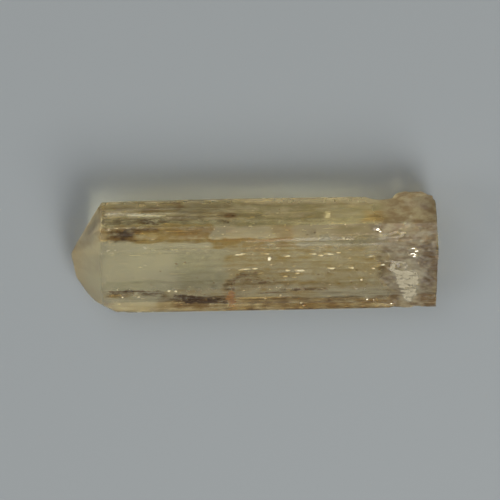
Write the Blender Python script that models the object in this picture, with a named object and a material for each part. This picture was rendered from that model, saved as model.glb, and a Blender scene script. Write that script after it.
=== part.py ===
"""A topaz crystal lying on one of its prism faces.

The length runs along X. The pointed end, closed by pyramid faces, is at -X, and the cleaved, rough base
is at +X. Each face is a plane, given by its distance from the length axis and by two angles: its turn about
the length, from +Y towards +Z, and for a pyramid face its tilt out of the plane square to the length.
"""
import math
import random

import bmesh
import bpy
from mathutils import Matrix, Vector, noise

MM = 0.001

# Driving dimensions
BASE_X = 13.49 * MM          # the cleaved base, from the middle of the length
AXIS_HEIGHT = 2.355 * MM     # the length axis above the face it rests on
BLANK_SIDE = 60.0 * MM       # the block that the faces are cut from

# Prism faces: turn about the length in degrees, distance from the axis in millimetres
PRISM_FACES = {
    "flat_top": (90.0, 2.355),
    "upper_flank": (34.3, 4.05),
    "rim": (15.5, 4.375),
    "under_rim": (-27.9, 3.87),
    "under_slope": (-60.1, 2.595),
    "resting": (-90.0, 2.355),
    "heel": (214.3, 4.08),
    "lower_rim": (195.5, 4.378),
    "lower_flank": (119.9, 2.058),
    "main": (108.7, 1.734),
}

# Pyramid faces: turn, tilt, and the millimetre of X where the face's plane meets the axis
PYRAMID_FACES = {
    "over_flank": (34.3, 33.5, -13.741),
    "over_flat_top": (90.0, 38.0, -12.960),
    "over_main": (108.7, 42.0, -12.791),
    "over_lower_flank": (119.9, 49.0, -13.517),
    "corner": (152.1, 44.8, -14.741),
    "steep_corner": (152.1, 61.8, -17.330),
    "over_under_rim": (-27.9, 34.8, -13.790),
    "over_resting": (-90.0, 45.8, -14.352),
    "over_lower_rim": (195.5, 42.7, -15.170),
}

# Growth ledges: face, start and end X, place across the face, width, depth at the step (all millimetres), and
# the end towards which the step fades out
LEDGES = (
    ("upper_flank", -10.9, -4.6, 1.18, 0.22, 0.050, +1),
    ("upper_flank", -6.5, 9.6, 0.62, 0.34, 0.045, +1),
    ("upper_flank", -11.3, 3.1, 0.16, 0.26, 0.040, -1),
    ("upper_flank", -2.0, 9.0, 1.40, 0.16, 0.045, +1),
    ("upper_flank", -10.2, -1.4, 1.56, 0.12, 0.035, +1),
    ("rim", -1.8, 8.2, 0.52, 0.14, 0.050, -1),
    ("rim", -9.5, 1.2, 0.78, 0.16, 0.040, +1),
    ("flat_top", -10.6, -3.2, 3.22, 0.20, 0.035, +1),
    ("flat_top", -0.6, 7.4, 2.12, 0.26, 0.045, -1),
    ("flat_top", -8.0, 10.2, 1.66, 0.20, 0.050, +1),
    ("main", -11.2, -2.4, 2.02, 0.34, 0.045, +1),
    ("main", -3.1, 8.8, 1.30, 0.30, 0.030, -1),
    ("main", -11.3, 1.6, 0.34, 0.24, 0.028, +1),
    ("main", 1.2, 9.4, 0.10, 0.36, 0.035, -1),
    ("main", -11.0, 6.8, -0.84, 0.30, 0.032, +1),
    ("main", -1.4, 9.8, -1.66, 0.34, 0.050, -1),
    ("lower_flank", -10.8, -5.2, -1.86, 0.22, 0.060, +1),
    ("lower_flank", -5.6, 2.6, -2.44, 0.16, 0.045, -1),
    ("lower_flank", -3.4, 10.4, -3.20, 0.30, 0.045, +1),
    ("lower_flank", -9.8, 0.8, -3.66, 0.20, 0.040, -1),
    ("under_rim", -10.4, 2.2, -1.60, 0.20, 0.040, +1),
    ("under_rim", -1.0, 9.0, -2.05, 0.18, 0.040, -1),
    ("under_slope", -10.8, 5.0, -0.40, 0.40, 0.050, +1),
    ("under_slope", -4.0, 12.0, -1.30, 0.34, 0.045, -1),
    ("under_slope", -9.0, 8.0, -2.30, 0.38, 0.050, +1),
    ("heel", -10.6, 1.0, 0.30, 0.30, 0.040, +1),
    ("heel", -2.6, 12.0, 0.90, 0.34, 0.045, -1),
    ("heel", -9.8, 9.0, 1.45, 0.20, 0.035, +1),
    ("lower_rim", -9.0, 4.4, 0.42, 0.14, 0.035, +1),
)

# Conchoidal hollows: face, X, place across, radius along X, radius across, depth (millimetres)
SCOOPS = (
    ("rim", 9.30, 0.80, 0.92, 0.60, 0.13),
    ("flat_top", 9.03, 2.80, 0.26, 0.20, 0.12),
    ("flat_top", 9.75, 2.02, 0.62, 0.22, 0.05),
    ("flat_top", 11.35, 2.95, 1.10, 0.42, 0.07),
    ("flat_top", 12.40, 2.15, 0.90, 0.46, 0.09),
    ("upper_flank", 10.15, 0.45, 0.62, 0.26, 0.07),
    ("upper_flank", 11.25, 1.25, 0.85, 0.32, 0.09),
    ("upper_flank", 12.55, 0.40, 0.95, 0.42, 0.10),
    ("main", 9.70, 0.90, 0.95, 0.34, 0.05),
    ("main", 10.70, -0.05, 0.80, 0.62, 0.07),
    ("main", 11.55, -1.15, 0.95, 0.50, 0.08),
    ("main", 12.50, 0.95, 0.95, 0.60, 0.11),
    ("main", 12.85, -0.55, 0.55, 0.75, 0.09),
    ("lower_flank", 8.75, -2.85, 0.42, 0.20, 0.07),
    ("lower_flank", 10.40, -3.25, 1.15, 0.34, 0.08),
    ("lower_flank", 12.30, -2.60, 0.95, 0.52, 0.10),
    ("lower_flank", -9.30, -1.95, 0.52, 0.18, 0.07),
    ("under_slope", 11.20, -1.20, 1.30, 0.70, 0.12),
    ("under_slope", 9.10, -2.60, 0.75, 0.40, 0.09),
    ("heel", 11.60, 0.80, 1.10, 0.46, 0.10),
)

# Nicks along the edges: X, Y, Z, radius (millimetres)
NICKS = (
    (-11.35, 4.45, 2.75, 0.30),
    (-6.20, 4.62, 2.60, 0.24),
    (-1.10, 4.30, 3.46, 0.18),
    (4.60, 3.42, 4.86, 0.24),
    (-8.40, 1.55, 4.92, 0.20),
    (2.10, 1.42, 4.90, 0.19),
    (7.60, -2.40, 3.52, 0.26),
    (-4.80, -2.36, 3.48, 0.17),
    (-9.90, -4.62, 2.05, 0.30),
    (1.80, -4.66, 2.00, 0.22),
    (-13.62, -0.95, 1.60, 0.26),
    (-12.45, -3.55, 1.90, 0.24),
    (6.40, 4.20, 1.62, 0.26),
    (-3.60, -3.46, 0.02, 0.22),
    (5.20, 1.24, 0.00, 0.24),
)

# Etch pits on the main face, where it is most pitted
PIT_SEED = 7
PIT_COUNT = 34
PIT_X = (-2.4 * MM, 9.2 * MM)
PIT_ACROSS = (-1.70 * MM, 2.05 * MM)
PIT_RADIUS = (0.055 * MM, 0.115 * MM)
PIT_SLOPE = 0.42             # depth over radius
PIT_SPACING = 0.34 * MM

# The rough knob on the rim beside the base: centre and radii of each lump (millimetres)
KNOB_LUMPS = (
    (11.85, 3.62, 2.35, 1.70, 1.10, 1.25),
    (12.80, 3.40, 2.80, 1.15, 1.05, 1.10),
    (11.05, 3.60, 1.80, 0.95, 0.95, 0.80),
    (12.60, 3.20, 1.40, 1.20, 0.95, 0.75),
)
LUMP_ROUGHNESS = 0.09        # of the lump's radius
LUMP_GRAIN = 2.2             # noise cells across a lump's radius
SCOOP_UNEVENNESS = 0.24      # of the hollow's radius
SCOOP_GRAIN = 1.5            # noise cells across a hollow's radius
SCOOP_SUNK = 0.65            # how much of the hollow's ball radius is under the face

# Cleavage steps in the base: the layer's depth, then the turn and the distance from the axis of the straight
# line that the layer is broken back to (millimetres and degrees)
BASE_STEPS = (
    (0.07, 152.0, 0.70),
    (0.12, 28.0, 1.90),
    (0.10, -70.0, 0.90),
    (0.16, 200.0, 2.70),
    (0.26, 15.0, 3.95),
    (0.34, -35.0, 3.20),
    (0.22, 118.0, 1.72),
    (0.30, 235.0, 3.35),
)

# Colour and surface
CHAMPAGNE = (0.62, 0.53, 0.34, 1.0)
POLISH = 0.12
TOPAZ_IOR = 1.62


def face_normal(turn, tilt=90.0):
    """The outward normal of a face of the pointed end. A tilt of 90 is a prism face."""
    around = math.radians(turn)
    out = math.sin(math.radians(tilt))
    return Vector((-math.cos(math.radians(tilt)), out * math.cos(around), out * math.sin(around)))


def face_place(face, x, across):
    """A matrix on a prism face: its X along the crystal, its Y across the face, its Z outward."""
    turn, distance = PRISM_FACES[face]
    normal = face_normal(turn)
    along = Vector((1.0, 0.0, 0.0))
    over = normal.cross(along)
    centre = Vector((x, 0.0, AXIS_HEIGHT)) + normal * distance * MM + over * across
    turned = Matrix((along, over, normal)).transposed().to_4x4()
    return Matrix.Translation(centre) @ turned


def new_collection(name):
    collection = bpy.data.collections.new(name)
    bpy.context.scene.collection.children.link(collection)
    return collection


def new_object(name, bm, collection):
    bmesh.ops.recalc_face_normals(bm, faces=bm.faces)
    mesh = bpy.data.meshes.new(name)
    bm.to_mesh(mesh)
    bm.free()
    made = bpy.data.objects.new(name, mesh)
    collection.objects.link(made)
    return made


def new_helper(name, bm, collection):
    """A cutter or a lump: it shapes the crystal and isn't a piece itself."""
    helper = new_object(name, bm, collection)
    helper.hide_render = True
    helper.display_type = "WIRE"
    return helper


def champagne_glass():
    material = bpy.data.materials.new("champagne topaz")
    material.use_nodes = True
    surface = material.node_tree.nodes["Principled BSDF"].inputs
    surface["Base Color"].default_value = CHAMPAGNE
    surface["Roughness"].default_value = POLISH
    surface["Metallic"].default_value = 0.0
    surface["IOR"].default_value = TOPAZ_IOR
    surface["Transmission Weight"].default_value = 1.0
    return material


def cut_face(bm, point, normal):
    """Cuts the solid off flat outside a plane and closes it with one face."""
    everything = bm.verts[:] + bm.edges[:] + bm.faces[:]
    cut = bmesh.ops.bisect_plane(
        bm, geom=everything, dist=1e-7, plane_co=point, plane_no=normal, clear_outer=True
    )
    rim = [edge for edge in cut["geom_cut"] if isinstance(edge, bmesh.types.BMEdge)]
    if rim:
        bmesh.ops.contextual_create(bm, geom=rim)


def faceted_prism(collection):
    """A block with every crystal face cut on it."""
    bm = bmesh.new()
    bmesh.ops.create_cube(bm, size=BLANK_SIDE)
    for turn, distance in PRISM_FACES.values():
        normal = face_normal(turn)
        cut_face(bm, Vector((0.0, 0.0, AXIS_HEIGHT)) + normal * distance * MM, normal)
    for turn, tilt, meets_axis in PYRAMID_FACES.values():
        cut_face(bm, Vector((meets_axis * MM, 0.0, AXIS_HEIGHT)), face_normal(turn, tilt))
    cut_face(bm, Vector((BASE_X, 0.0, AXIS_HEIGHT)), Vector((1.0, 0.0, 0.0)))
    return new_object("crystal", bm, collection)


def ledge_cutter(index, ledge, collection):
    """A thin slab, leaned so that its floor leaves one crisp step and fades out across and along the face."""
    face, start, end, across, width, depth, fades_towards = ledge
    length = end - start
    thickness = 1.0
    bm = bmesh.new()
    bmesh.ops.create_cube(bm, size=1.0)
    bmesh.ops.scale(bm, verts=bm.verts, vec=Vector((length, width, thickness)) * MM)
    bmesh.ops.translate(bm, verts=bm.verts, vec=Vector((0.0, 0.0, thickness / 2 - depth / 2)) * MM)
    lean_across = Matrix.Rotation(math.atan2(depth / 2, width / 2), 4, "X")
    lean_along = Matrix.Rotation(-fades_towards * math.atan2(depth, length), 4, "Y")
    helper = new_helper(f"ledge {index}", bm, collection)
    middle = (start + end) / 2
    helper.matrix_world = face_place(face, middle * MM, across * MM) @ lean_along @ lean_across


def scoop_cutter(index, scoop, collection):
    """An uneven flattened ball, its middle a little above the face, so that the hollow's rim is crisp."""
    face, x, across, radius_along, radius_across, depth = scoop
    rim_share = math.sqrt(1 - (1 - SCOOP_SUNK) ** 2)
    height = depth / SCOOP_SUNK
    radii = Vector((radius_along / rim_share, radius_across / rim_share, height)) * MM
    bm = bmesh.new()
    bmesh.ops.create_icosphere(bm, subdivisions=3, radius=1.0)
    for vertex in bm.verts:
        sample = vertex.co * SCOOP_GRAIN + Vector((3.1 * index, 0.6, 2.2))
        vertex.co *= 1.0 + SCOOP_UNEVENNESS * noise.noise(sample)
    bmesh.ops.scale(bm, verts=bm.verts, vec=radii)
    helper = new_helper(f"scoop {index}", bm, collection)
    lift = Matrix.Translation(Vector((0.0, 0.0, height * (1 - SCOOP_SUNK) * MM)))
    skew = Matrix.Rotation(0.35 * math.sin(1.7 * index), 4, "Z")
    helper.matrix_world = face_place(face, x * MM, across * MM) @ lift @ skew


def nick_cutter(index, nick, collection):
    """A small broken-out shell on an edge."""
    x, y, z, radius = nick
    bm = bmesh.new()
    bmesh.ops.create_icosphere(bm, subdivisions=2, radius=radius * MM)
    helper = new_helper(f"nick {index}", bm, collection)
    stretch = Matrix.Diagonal((1.9, 1.0, 0.8, 1.0))
    turn = Matrix.Rotation(0.35 * math.sin(2.3 * index), 4, "Z")
    helper.matrix_world = Matrix.Translation(Vector((x, y, z)) * MM) @ turn
    helper.data.transform(stretch)


def pit_places():
    """Places of the etch pits, none nearer another than the spacing."""
    draw = random.Random(PIT_SEED)
    places = []
    while len(places) < PIT_COUNT:
        place = Vector((draw.uniform(*PIT_X), draw.uniform(*PIT_ACROSS)))
        if all((place - other).length > PIT_SPACING for other in places):
            places.append(place)
    return places


def pit_cutter(index, place, radius, collection):
    """A four-sided pyramid, point down, longer along the crystal than across."""
    depth = radius * PIT_SLOPE
    above = 0.5
    bm = bmesh.new()
    bmesh.ops.create_cone(
        bm,
        cap_ends=True,
        segments=4,
        radius1=0.0,
        radius2=radius * (1 + above),
        depth=depth * (1 + above),
    )
    bmesh.ops.translate(bm, verts=bm.verts, vec=(0.0, 0.0, -depth * (1 - above) / 2))
    bmesh.ops.scale(bm, verts=bm.verts, vec=(1.6, 1.0, 1.0))
    helper = new_helper(f"etch pit {index}", bm, collection)
    helper.matrix_world = face_place("main", place.x, place.y)


def base_step_cutter(index, step, collection):
    """A slab that takes one cleavage layer off the base, back to a straight broken line."""
    depth, turn, distance = step
    side = 20.0
    bm = bmesh.new()
    bmesh.ops.create_cube(bm, size=1.0)
    bmesh.ops.scale(bm, verts=bm.verts, vec=Vector((2.0, side, side)) * MM)
    bmesh.ops.translate(bm, verts=bm.verts, vec=Vector((1.0 - depth, distance + side / 2, 0.0)) * MM)
    helper = new_helper(f"base step {index}", bm, collection)
    around = Matrix.Rotation(math.radians(turn), 4, "X")
    lean = Matrix.Rotation(math.radians(0.35 * math.cos(index)), 4, "Z")
    helper.matrix_world = Matrix.Translation(Vector((BASE_X, 0.0, AXIS_HEIGHT))) @ around @ lean


def knob_lump(index, lump, collection):
    """One rough lump of the knob."""
    x, y, z, radius_x, radius_y, radius_z = lump
    bm = bmesh.new()
    bmesh.ops.create_icosphere(bm, subdivisions=3, radius=1.0)
    for vertex in bm.verts:
        sample = vertex.co * LUMP_GRAIN + Vector((5.0 * index, 1.7, 0.4))
        vertex.co *= 1.0 + LUMP_ROUGHNESS * noise.noise(sample)
    bmesh.ops.scale(bm, verts=bm.verts, vec=Vector((radius_x, radius_y, radius_z)) * MM)
    helper = new_helper(f"knob lump {index}", bm, collection)
    helper.location = Vector((x, y, z)) * MM


def base_trim(collection):
    """Cuts the knob off flush with the cleaved base."""
    side = 20.0 * MM
    bm = bmesh.new()
    bmesh.ops.create_cube(bm, size=side)
    helper = new_helper("base trim", bm, collection)
    helper.location = (BASE_X + side / 2 - 0.01 * MM, 0.0, AXIS_HEIGHT)


def add_boolean(piece, operation, collection):
    boolean = piece.modifiers.new(operation.lower(), "BOOLEAN")
    boolean.operation = operation
    boolean.solver = "EXACT"
    boolean.operand_type = "COLLECTION"
    boolean.collection = collection


def centre_on_base(piece, helpers):
    """Puts the origin under the middle of the finished crystal, at the level it rests on."""
    bpy.context.view_layer.update()
    shaped = piece.evaluated_get(bpy.context.evaluated_depsgraph_get())
    corners = [shaped.matrix_world @ Vector(corner) for corner in shaped.bound_box]
    low = Vector(min(corner[axis] for corner in corners) for axis in range(3))
    high = Vector(max(corner[axis] for corner in corners) for axis in range(3))
    shift = Matrix.Translation(Vector((-(low.x + high.x) / 2, -(low.y + high.y) / 2, -low.z)))
    for item in [piece, *helpers]:
        item.matrix_world = shift @ item.matrix_world


def build():
    for item in list(bpy.data.objects):
        bpy.data.objects.remove(item)
    parts = new_collection("topaz crystal")
    lumps = new_collection("knob lumps")
    cutters = new_collection("cutters")

    crystal = faceted_prism(parts)
    crystal.data.materials.append(champagne_glass())
    for index, lump in enumerate(KNOB_LUMPS):
        knob_lump(index, lump, lumps)
    for index, ledge in enumerate(LEDGES):
        ledge_cutter(index, ledge, cutters)
    for index, scoop in enumerate(SCOOPS):
        scoop_cutter(index, scoop, cutters)
    for index, nick in enumerate(NICKS):
        nick_cutter(index, nick, cutters)
    sizes = random.Random(PIT_SEED + 1)
    for index, place in enumerate(pit_places()):
        pit_cutter(index, place, sizes.uniform(*PIT_RADIUS), cutters)
    for index, step in enumerate(BASE_STEPS):
        base_step_cutter(index, step, cutters)
    base_trim(cutters)

    add_boolean(crystal, "UNION", lumps)
    add_boolean(crystal, "DIFFERENCE", cutters)
    centre_on_base(crystal, [*lumps.objects, *cutters.objects])


build()
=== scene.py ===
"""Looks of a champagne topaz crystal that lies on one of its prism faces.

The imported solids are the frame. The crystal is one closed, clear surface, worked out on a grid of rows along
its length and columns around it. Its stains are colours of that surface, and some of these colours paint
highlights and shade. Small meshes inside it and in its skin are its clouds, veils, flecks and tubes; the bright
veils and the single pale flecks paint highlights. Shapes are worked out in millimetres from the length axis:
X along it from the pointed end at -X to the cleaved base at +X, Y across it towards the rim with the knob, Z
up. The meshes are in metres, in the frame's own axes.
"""
import math
import random

import bpy
import numpy as np
from mathutils import Matrix, Vector


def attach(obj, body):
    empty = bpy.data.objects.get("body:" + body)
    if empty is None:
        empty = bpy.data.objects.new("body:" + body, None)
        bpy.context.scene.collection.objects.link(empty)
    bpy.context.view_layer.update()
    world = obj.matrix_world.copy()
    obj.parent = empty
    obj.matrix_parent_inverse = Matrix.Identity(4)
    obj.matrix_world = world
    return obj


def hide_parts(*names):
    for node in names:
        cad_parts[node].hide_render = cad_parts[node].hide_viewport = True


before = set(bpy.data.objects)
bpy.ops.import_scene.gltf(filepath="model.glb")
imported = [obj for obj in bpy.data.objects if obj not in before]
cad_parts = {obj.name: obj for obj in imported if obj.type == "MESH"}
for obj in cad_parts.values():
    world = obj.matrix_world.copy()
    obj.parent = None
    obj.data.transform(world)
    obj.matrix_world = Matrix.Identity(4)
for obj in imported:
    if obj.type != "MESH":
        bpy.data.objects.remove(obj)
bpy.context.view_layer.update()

bl_info = {
    "name": "Topaz crystal",
    "version": (1, 0, 0),
    "blender": (4, 5, 0),
    "location": "3D View > Sidebar > Topaz",
    "description": "A clear champagne topaz crystal with its striations, pits, veils and stains",
    "category": "Object",
}

MM = 0.001
BODY = "root"
NODE = "crystal"

ALONG = np.array([1.0, 0.0, 0.0])

# Where the middle of the length axis is in the frame
AXIS_HEIGHT = 2.355
AXIS_PLACE = (0.0117, -0.1058, AXIS_HEIGHT)
BASE_X = 13.49               # the cleaved base, from the middle of the length

# Prism faces: turn about the length in degrees, from +Y towards +Z, and distance from the axis
PRISM_FACES = {
    "flat_top": (90.0, 2.355),
    "upper_flank": (34.3, 4.05),
    "rim": (15.5, 4.375),
    "under_rim": (-27.9, 3.87),
    "under_slope": (-60.1, 2.595),
    "resting": (-90.0, 2.355),
    "heel": (214.3, 4.08),
    "lower_rim": (195.5, 4.378),
    "lower_flank": (119.9, 2.058),
    "main": (108.7, 1.734),
}

# Pyramid faces: turn, tilt out of the plane square to the length, and the X where the plane meets the axis
PYRAMID_FACES = {
    "over_flank": (34.3, 33.5, -13.741),
    "over_flat_top": (90.0, 38.0, -12.960),
    "over_main": (108.7, 42.0, -12.791),
    "over_lower_flank": (119.9, 49.0, -13.517),
    "corner": (152.1, 44.8, -14.741),
    "steep_corner": (152.1, 61.8, -17.330),
    "over_under_rim": (-27.9, 34.8, -13.790),
    "over_resting": (-90.0, 45.8, -14.352),
    "over_lower_rim": (195.5, 42.7, -15.170),
}

# Spacing and depth of the fine striations along each prism face
STRIATIONS = {
    "flat_top": (0.17, 0.009),
    "upper_flank": (0.13, 0.022),
    "rim": (0.10, 0.020),
    "under_rim": (0.20, 0.020),
    "under_slope": (0.28, 0.018),
    "resting": (0.40, 0.004),
    "heel": (0.24, 0.020),
    "lower_rim": (0.12, 0.016),
    "lower_flank": (0.15, 0.020),
    "main": (0.22, 0.006),
}

LINE_STATIONS = (-13.0, -8.5, -3.0, 2.0, 6.5, 10.5, 14.0)    # the X of each set of lines, blended between
LINES_REACH = 6.0            # how far to each side of a face's middle they go
LINE_DRIFT = 1.3             # how far a line's change from set to set wanders along the crystal

# Growth ledges by face: start and end X, place across the face, width, depth at the step, and the end towards
# which the step fades out. Most tables below are like this one, a face and then its rows.
LEDGES = (
    ("upper_flank", (
        (-10.9, -4.6, 1.18, 0.22, 0.05, 1), (-6.5, 9.6, 0.62, 0.34, 0.045, 1),
        (-11.3, 3.1, 0.16, 0.26, 0.04, -1), (-2.0, 9.0, 1.4, 0.16, 0.045, 1),
        (-10.2, -1.4, 1.56, 0.12, 0.035, 1),
    )),
    ("rim", (
        (-1.8, 8.2, 0.52, 0.14, 0.05, -1), (-9.5, 1.2, 0.78, 0.16, 0.04, 1),
    )),
    ("flat_top", (
        (-10.6, -3.2, 3.22, 0.2, 0.035, 1), (-0.6, 7.4, 2.12, 0.26, 0.045, -1),
        (-8.0, 10.2, 1.66, 0.2, 0.05, 1),
    )),
    ("main", (
        (-11.2, -2.4, 2.02, 0.34, 0.045, 1), (-3.1, 8.8, 1.3, 0.3, 0.03, -1),
        (-11.3, 1.6, 0.34, 0.24, 0.028, 1), (1.2, 9.4, 0.1, 0.36, 0.035, -1),
        (-11.0, 6.8, -0.84, 0.3, 0.032, 1), (-1.4, 9.8, -1.66, 0.34, 0.05, -1),
    )),
    ("lower_flank", (
        (-10.8, -5.2, -1.86, 0.22, 0.06, 1), (-5.6, 2.6, -2.44, 0.16, 0.045, -1),
        (-3.4, 10.4, -3.2, 0.3, 0.045, 1), (-9.8, 0.8, -3.66, 0.2, 0.04, -1),
    )),
    ("under_rim", (
        (-10.4, 2.2, -1.6, 0.2, 0.04, 1), (-1.0, 9.0, -2.05, 0.18, 0.04, -1),
    )),
    ("under_slope", (
        (-10.8, 5.0, -0.4, 0.4, 0.05, 1), (-4.0, 12.0, -1.3, 0.34, 0.045, -1),
        (-9.0, 8.0, -2.3, 0.38, 0.05, 1),
    )),
    ("heel", (
        (-10.6, 1.0, 0.3, 0.3, 0.04, 1), (-2.6, 12.0, 0.9, 0.34, 0.045, -1),
        (-9.8, 9.0, 1.45, 0.2, 0.035, 1),
    )),
    ("lower_rim", ((-9.0, 4.4, 0.42, 0.14, 0.035, 1),)),
)

# Conchoidal hollows: X, place across, radius along X, radius across, depth
HOLLOWS = (
    ("rim", ((9.3, 0.8, 0.92, 0.6, 0.13),)),
    ("flat_top", (
        (9.03, 2.8, 0.26, 0.2, 0.12), (9.75, 2.02, 0.62, 0.22, 0.03), (11.35, 2.95, 1.1, 0.42, 0.05),
        (12.4, 2.15, 0.9, 0.46, 0.06),
    )),
    ("upper_flank", (
        (10.15, 0.45, 0.62, 0.26, 0.03), (11.25, 1.25, 0.85, 0.32, 0.06), (12.55, 0.4, 0.95, 0.42, 0.1),
    )),
    ("main", (
        (9.7, 0.9, 0.95, 0.34, 0.03), (10.57, 0.1, 0.62, 0.55, 0.05), (11.55, -1.15, 0.95, 0.5, 0.03),
        (12.5, 0.95, 0.95, 0.6, 0.07), (12.85, -0.55, 0.55, 0.75, 0.09),
    )),
    ("lower_flank", (
        (8.75, -2.85, 0.42, 0.2, 0.07), (10.4, -3.25, 1.15, 0.34, 0.08), (12.3, -2.6, 0.95, 0.52, 0.1),
        (-9.3, -1.95, 0.52, 0.18, 0.07),
    )),
    ("under_slope", (
        (11.2, -1.2, 1.3, 0.7, 0.12), (9.1, -2.6, 0.75, 0.4, 0.09),
    )),
    ("heel", ((11.6, 0.8, 1.1, 0.46, 0.1),)),
)

HOLLOW_SHARE = 0.6           # of their depth, where flakes and dust fill the rest
HOLLOW_SUNK = 0.65           # how deep the ball lies, of its radius
BASE_UNEVEN = 0.030          # how uneven the faces get beside the base
BASE_UNEVEN_X = (8.6, 11.0)  # where that starts and where it is full

# Nicks along the edges: X, Y, height above the resting face, radius
NICKS = (
    (-11.35, 4.45, 2.75, 0.3), (-6.2, 4.62, 2.6, 0.24), (-1.1, 4.3, 3.46, 0.18), (4.6, 3.42, 4.9, 0.17),
    (-8.4, 1.55, 4.92, 0.2), (2.1, 1.42, 4.9, 0.19), (7.6, -2.4, 3.52, 0.26), (-4.8, -2.36, 3.48, 0.17),
    (-9.9, -4.62, 2.05, 0.3), (1.8, -4.66, 2.0, 0.22), (-13.62, -0.95, 1.6, 0.26),
    (-12.45, -3.55, 1.9, 0.24), (6.4, 4.2, 1.62, 0.26), (-3.6, -3.46, 0.02, 0.22), (5.2, 1.24, 0.0, 0.24),
)
NICK_STRETCH = (1.9, 1.0, 0.8)

# The scoop out of the rim beside the knob: centre, with Z above the resting face, and radii
SCOOP = (9.30, 4.88, 1.455, 1.9, 1.0, 1.5)

# Etch pits on the main face
PIT_SEED = 7
PIT_COUNT = 34
PIT_X = (-2.4, 9.2)
PIT_ACROSS = (-1.70, 2.05)
PIT_RADIUS = (0.055, 0.115)
PIT_SLOPE = 0.42             # depth over radius
PIT_LENGTHENED = 1.6         # along the crystal
PIT_SPACING = 0.34

# The rough knob on the rim beside the base: centre, with Z above the resting face, and radii of each lump
KNOB_LUMPS = (
    (11.85, 3.62, 2.35, 1.70, 1.06, 1.25),
    (12.70, 3.46, 2.70, 1.25, 1.14, 1.15),
    (11.05, 3.60, 1.80, 0.95, 0.95, 0.80),
    (12.60, 3.20, 1.40, 1.20, 0.95, 0.75),
)
LUMP_ROUGHNESS = 0.010       # of the distance from the axis
KNOB_BLEND = (-0.35, 0.05)   # how far the knob stands out where its finish starts and where it is full

# How far the rim and the face below it swell out of their planes, from the first X to the last
SWELLS = {
    "rim": (-10.8, 11.0, 0.14),
    "under_rim": (-11.9, 10.4, 0.10),
}

# Cleavage steps in the base: the layer's depth, then the turn and the distance from the axis of the straight
# line that the layer is broken back to
BASE_STEPS = (
    (0.05, 152.0, 0.70),
    (0.12, 28.0, 1.90),
    (0.10, -70.0, 0.90),
    (0.07, 200.0, 2.70),
    (0.18, 15.0, 3.95),
    (0.34, -35.0, 3.20),
    (0.09, 118.0, 1.72),
    (0.26, 235.0, 3.35),
)
STEP_BREADTH = 0.05          # how far a broken line slopes
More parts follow.
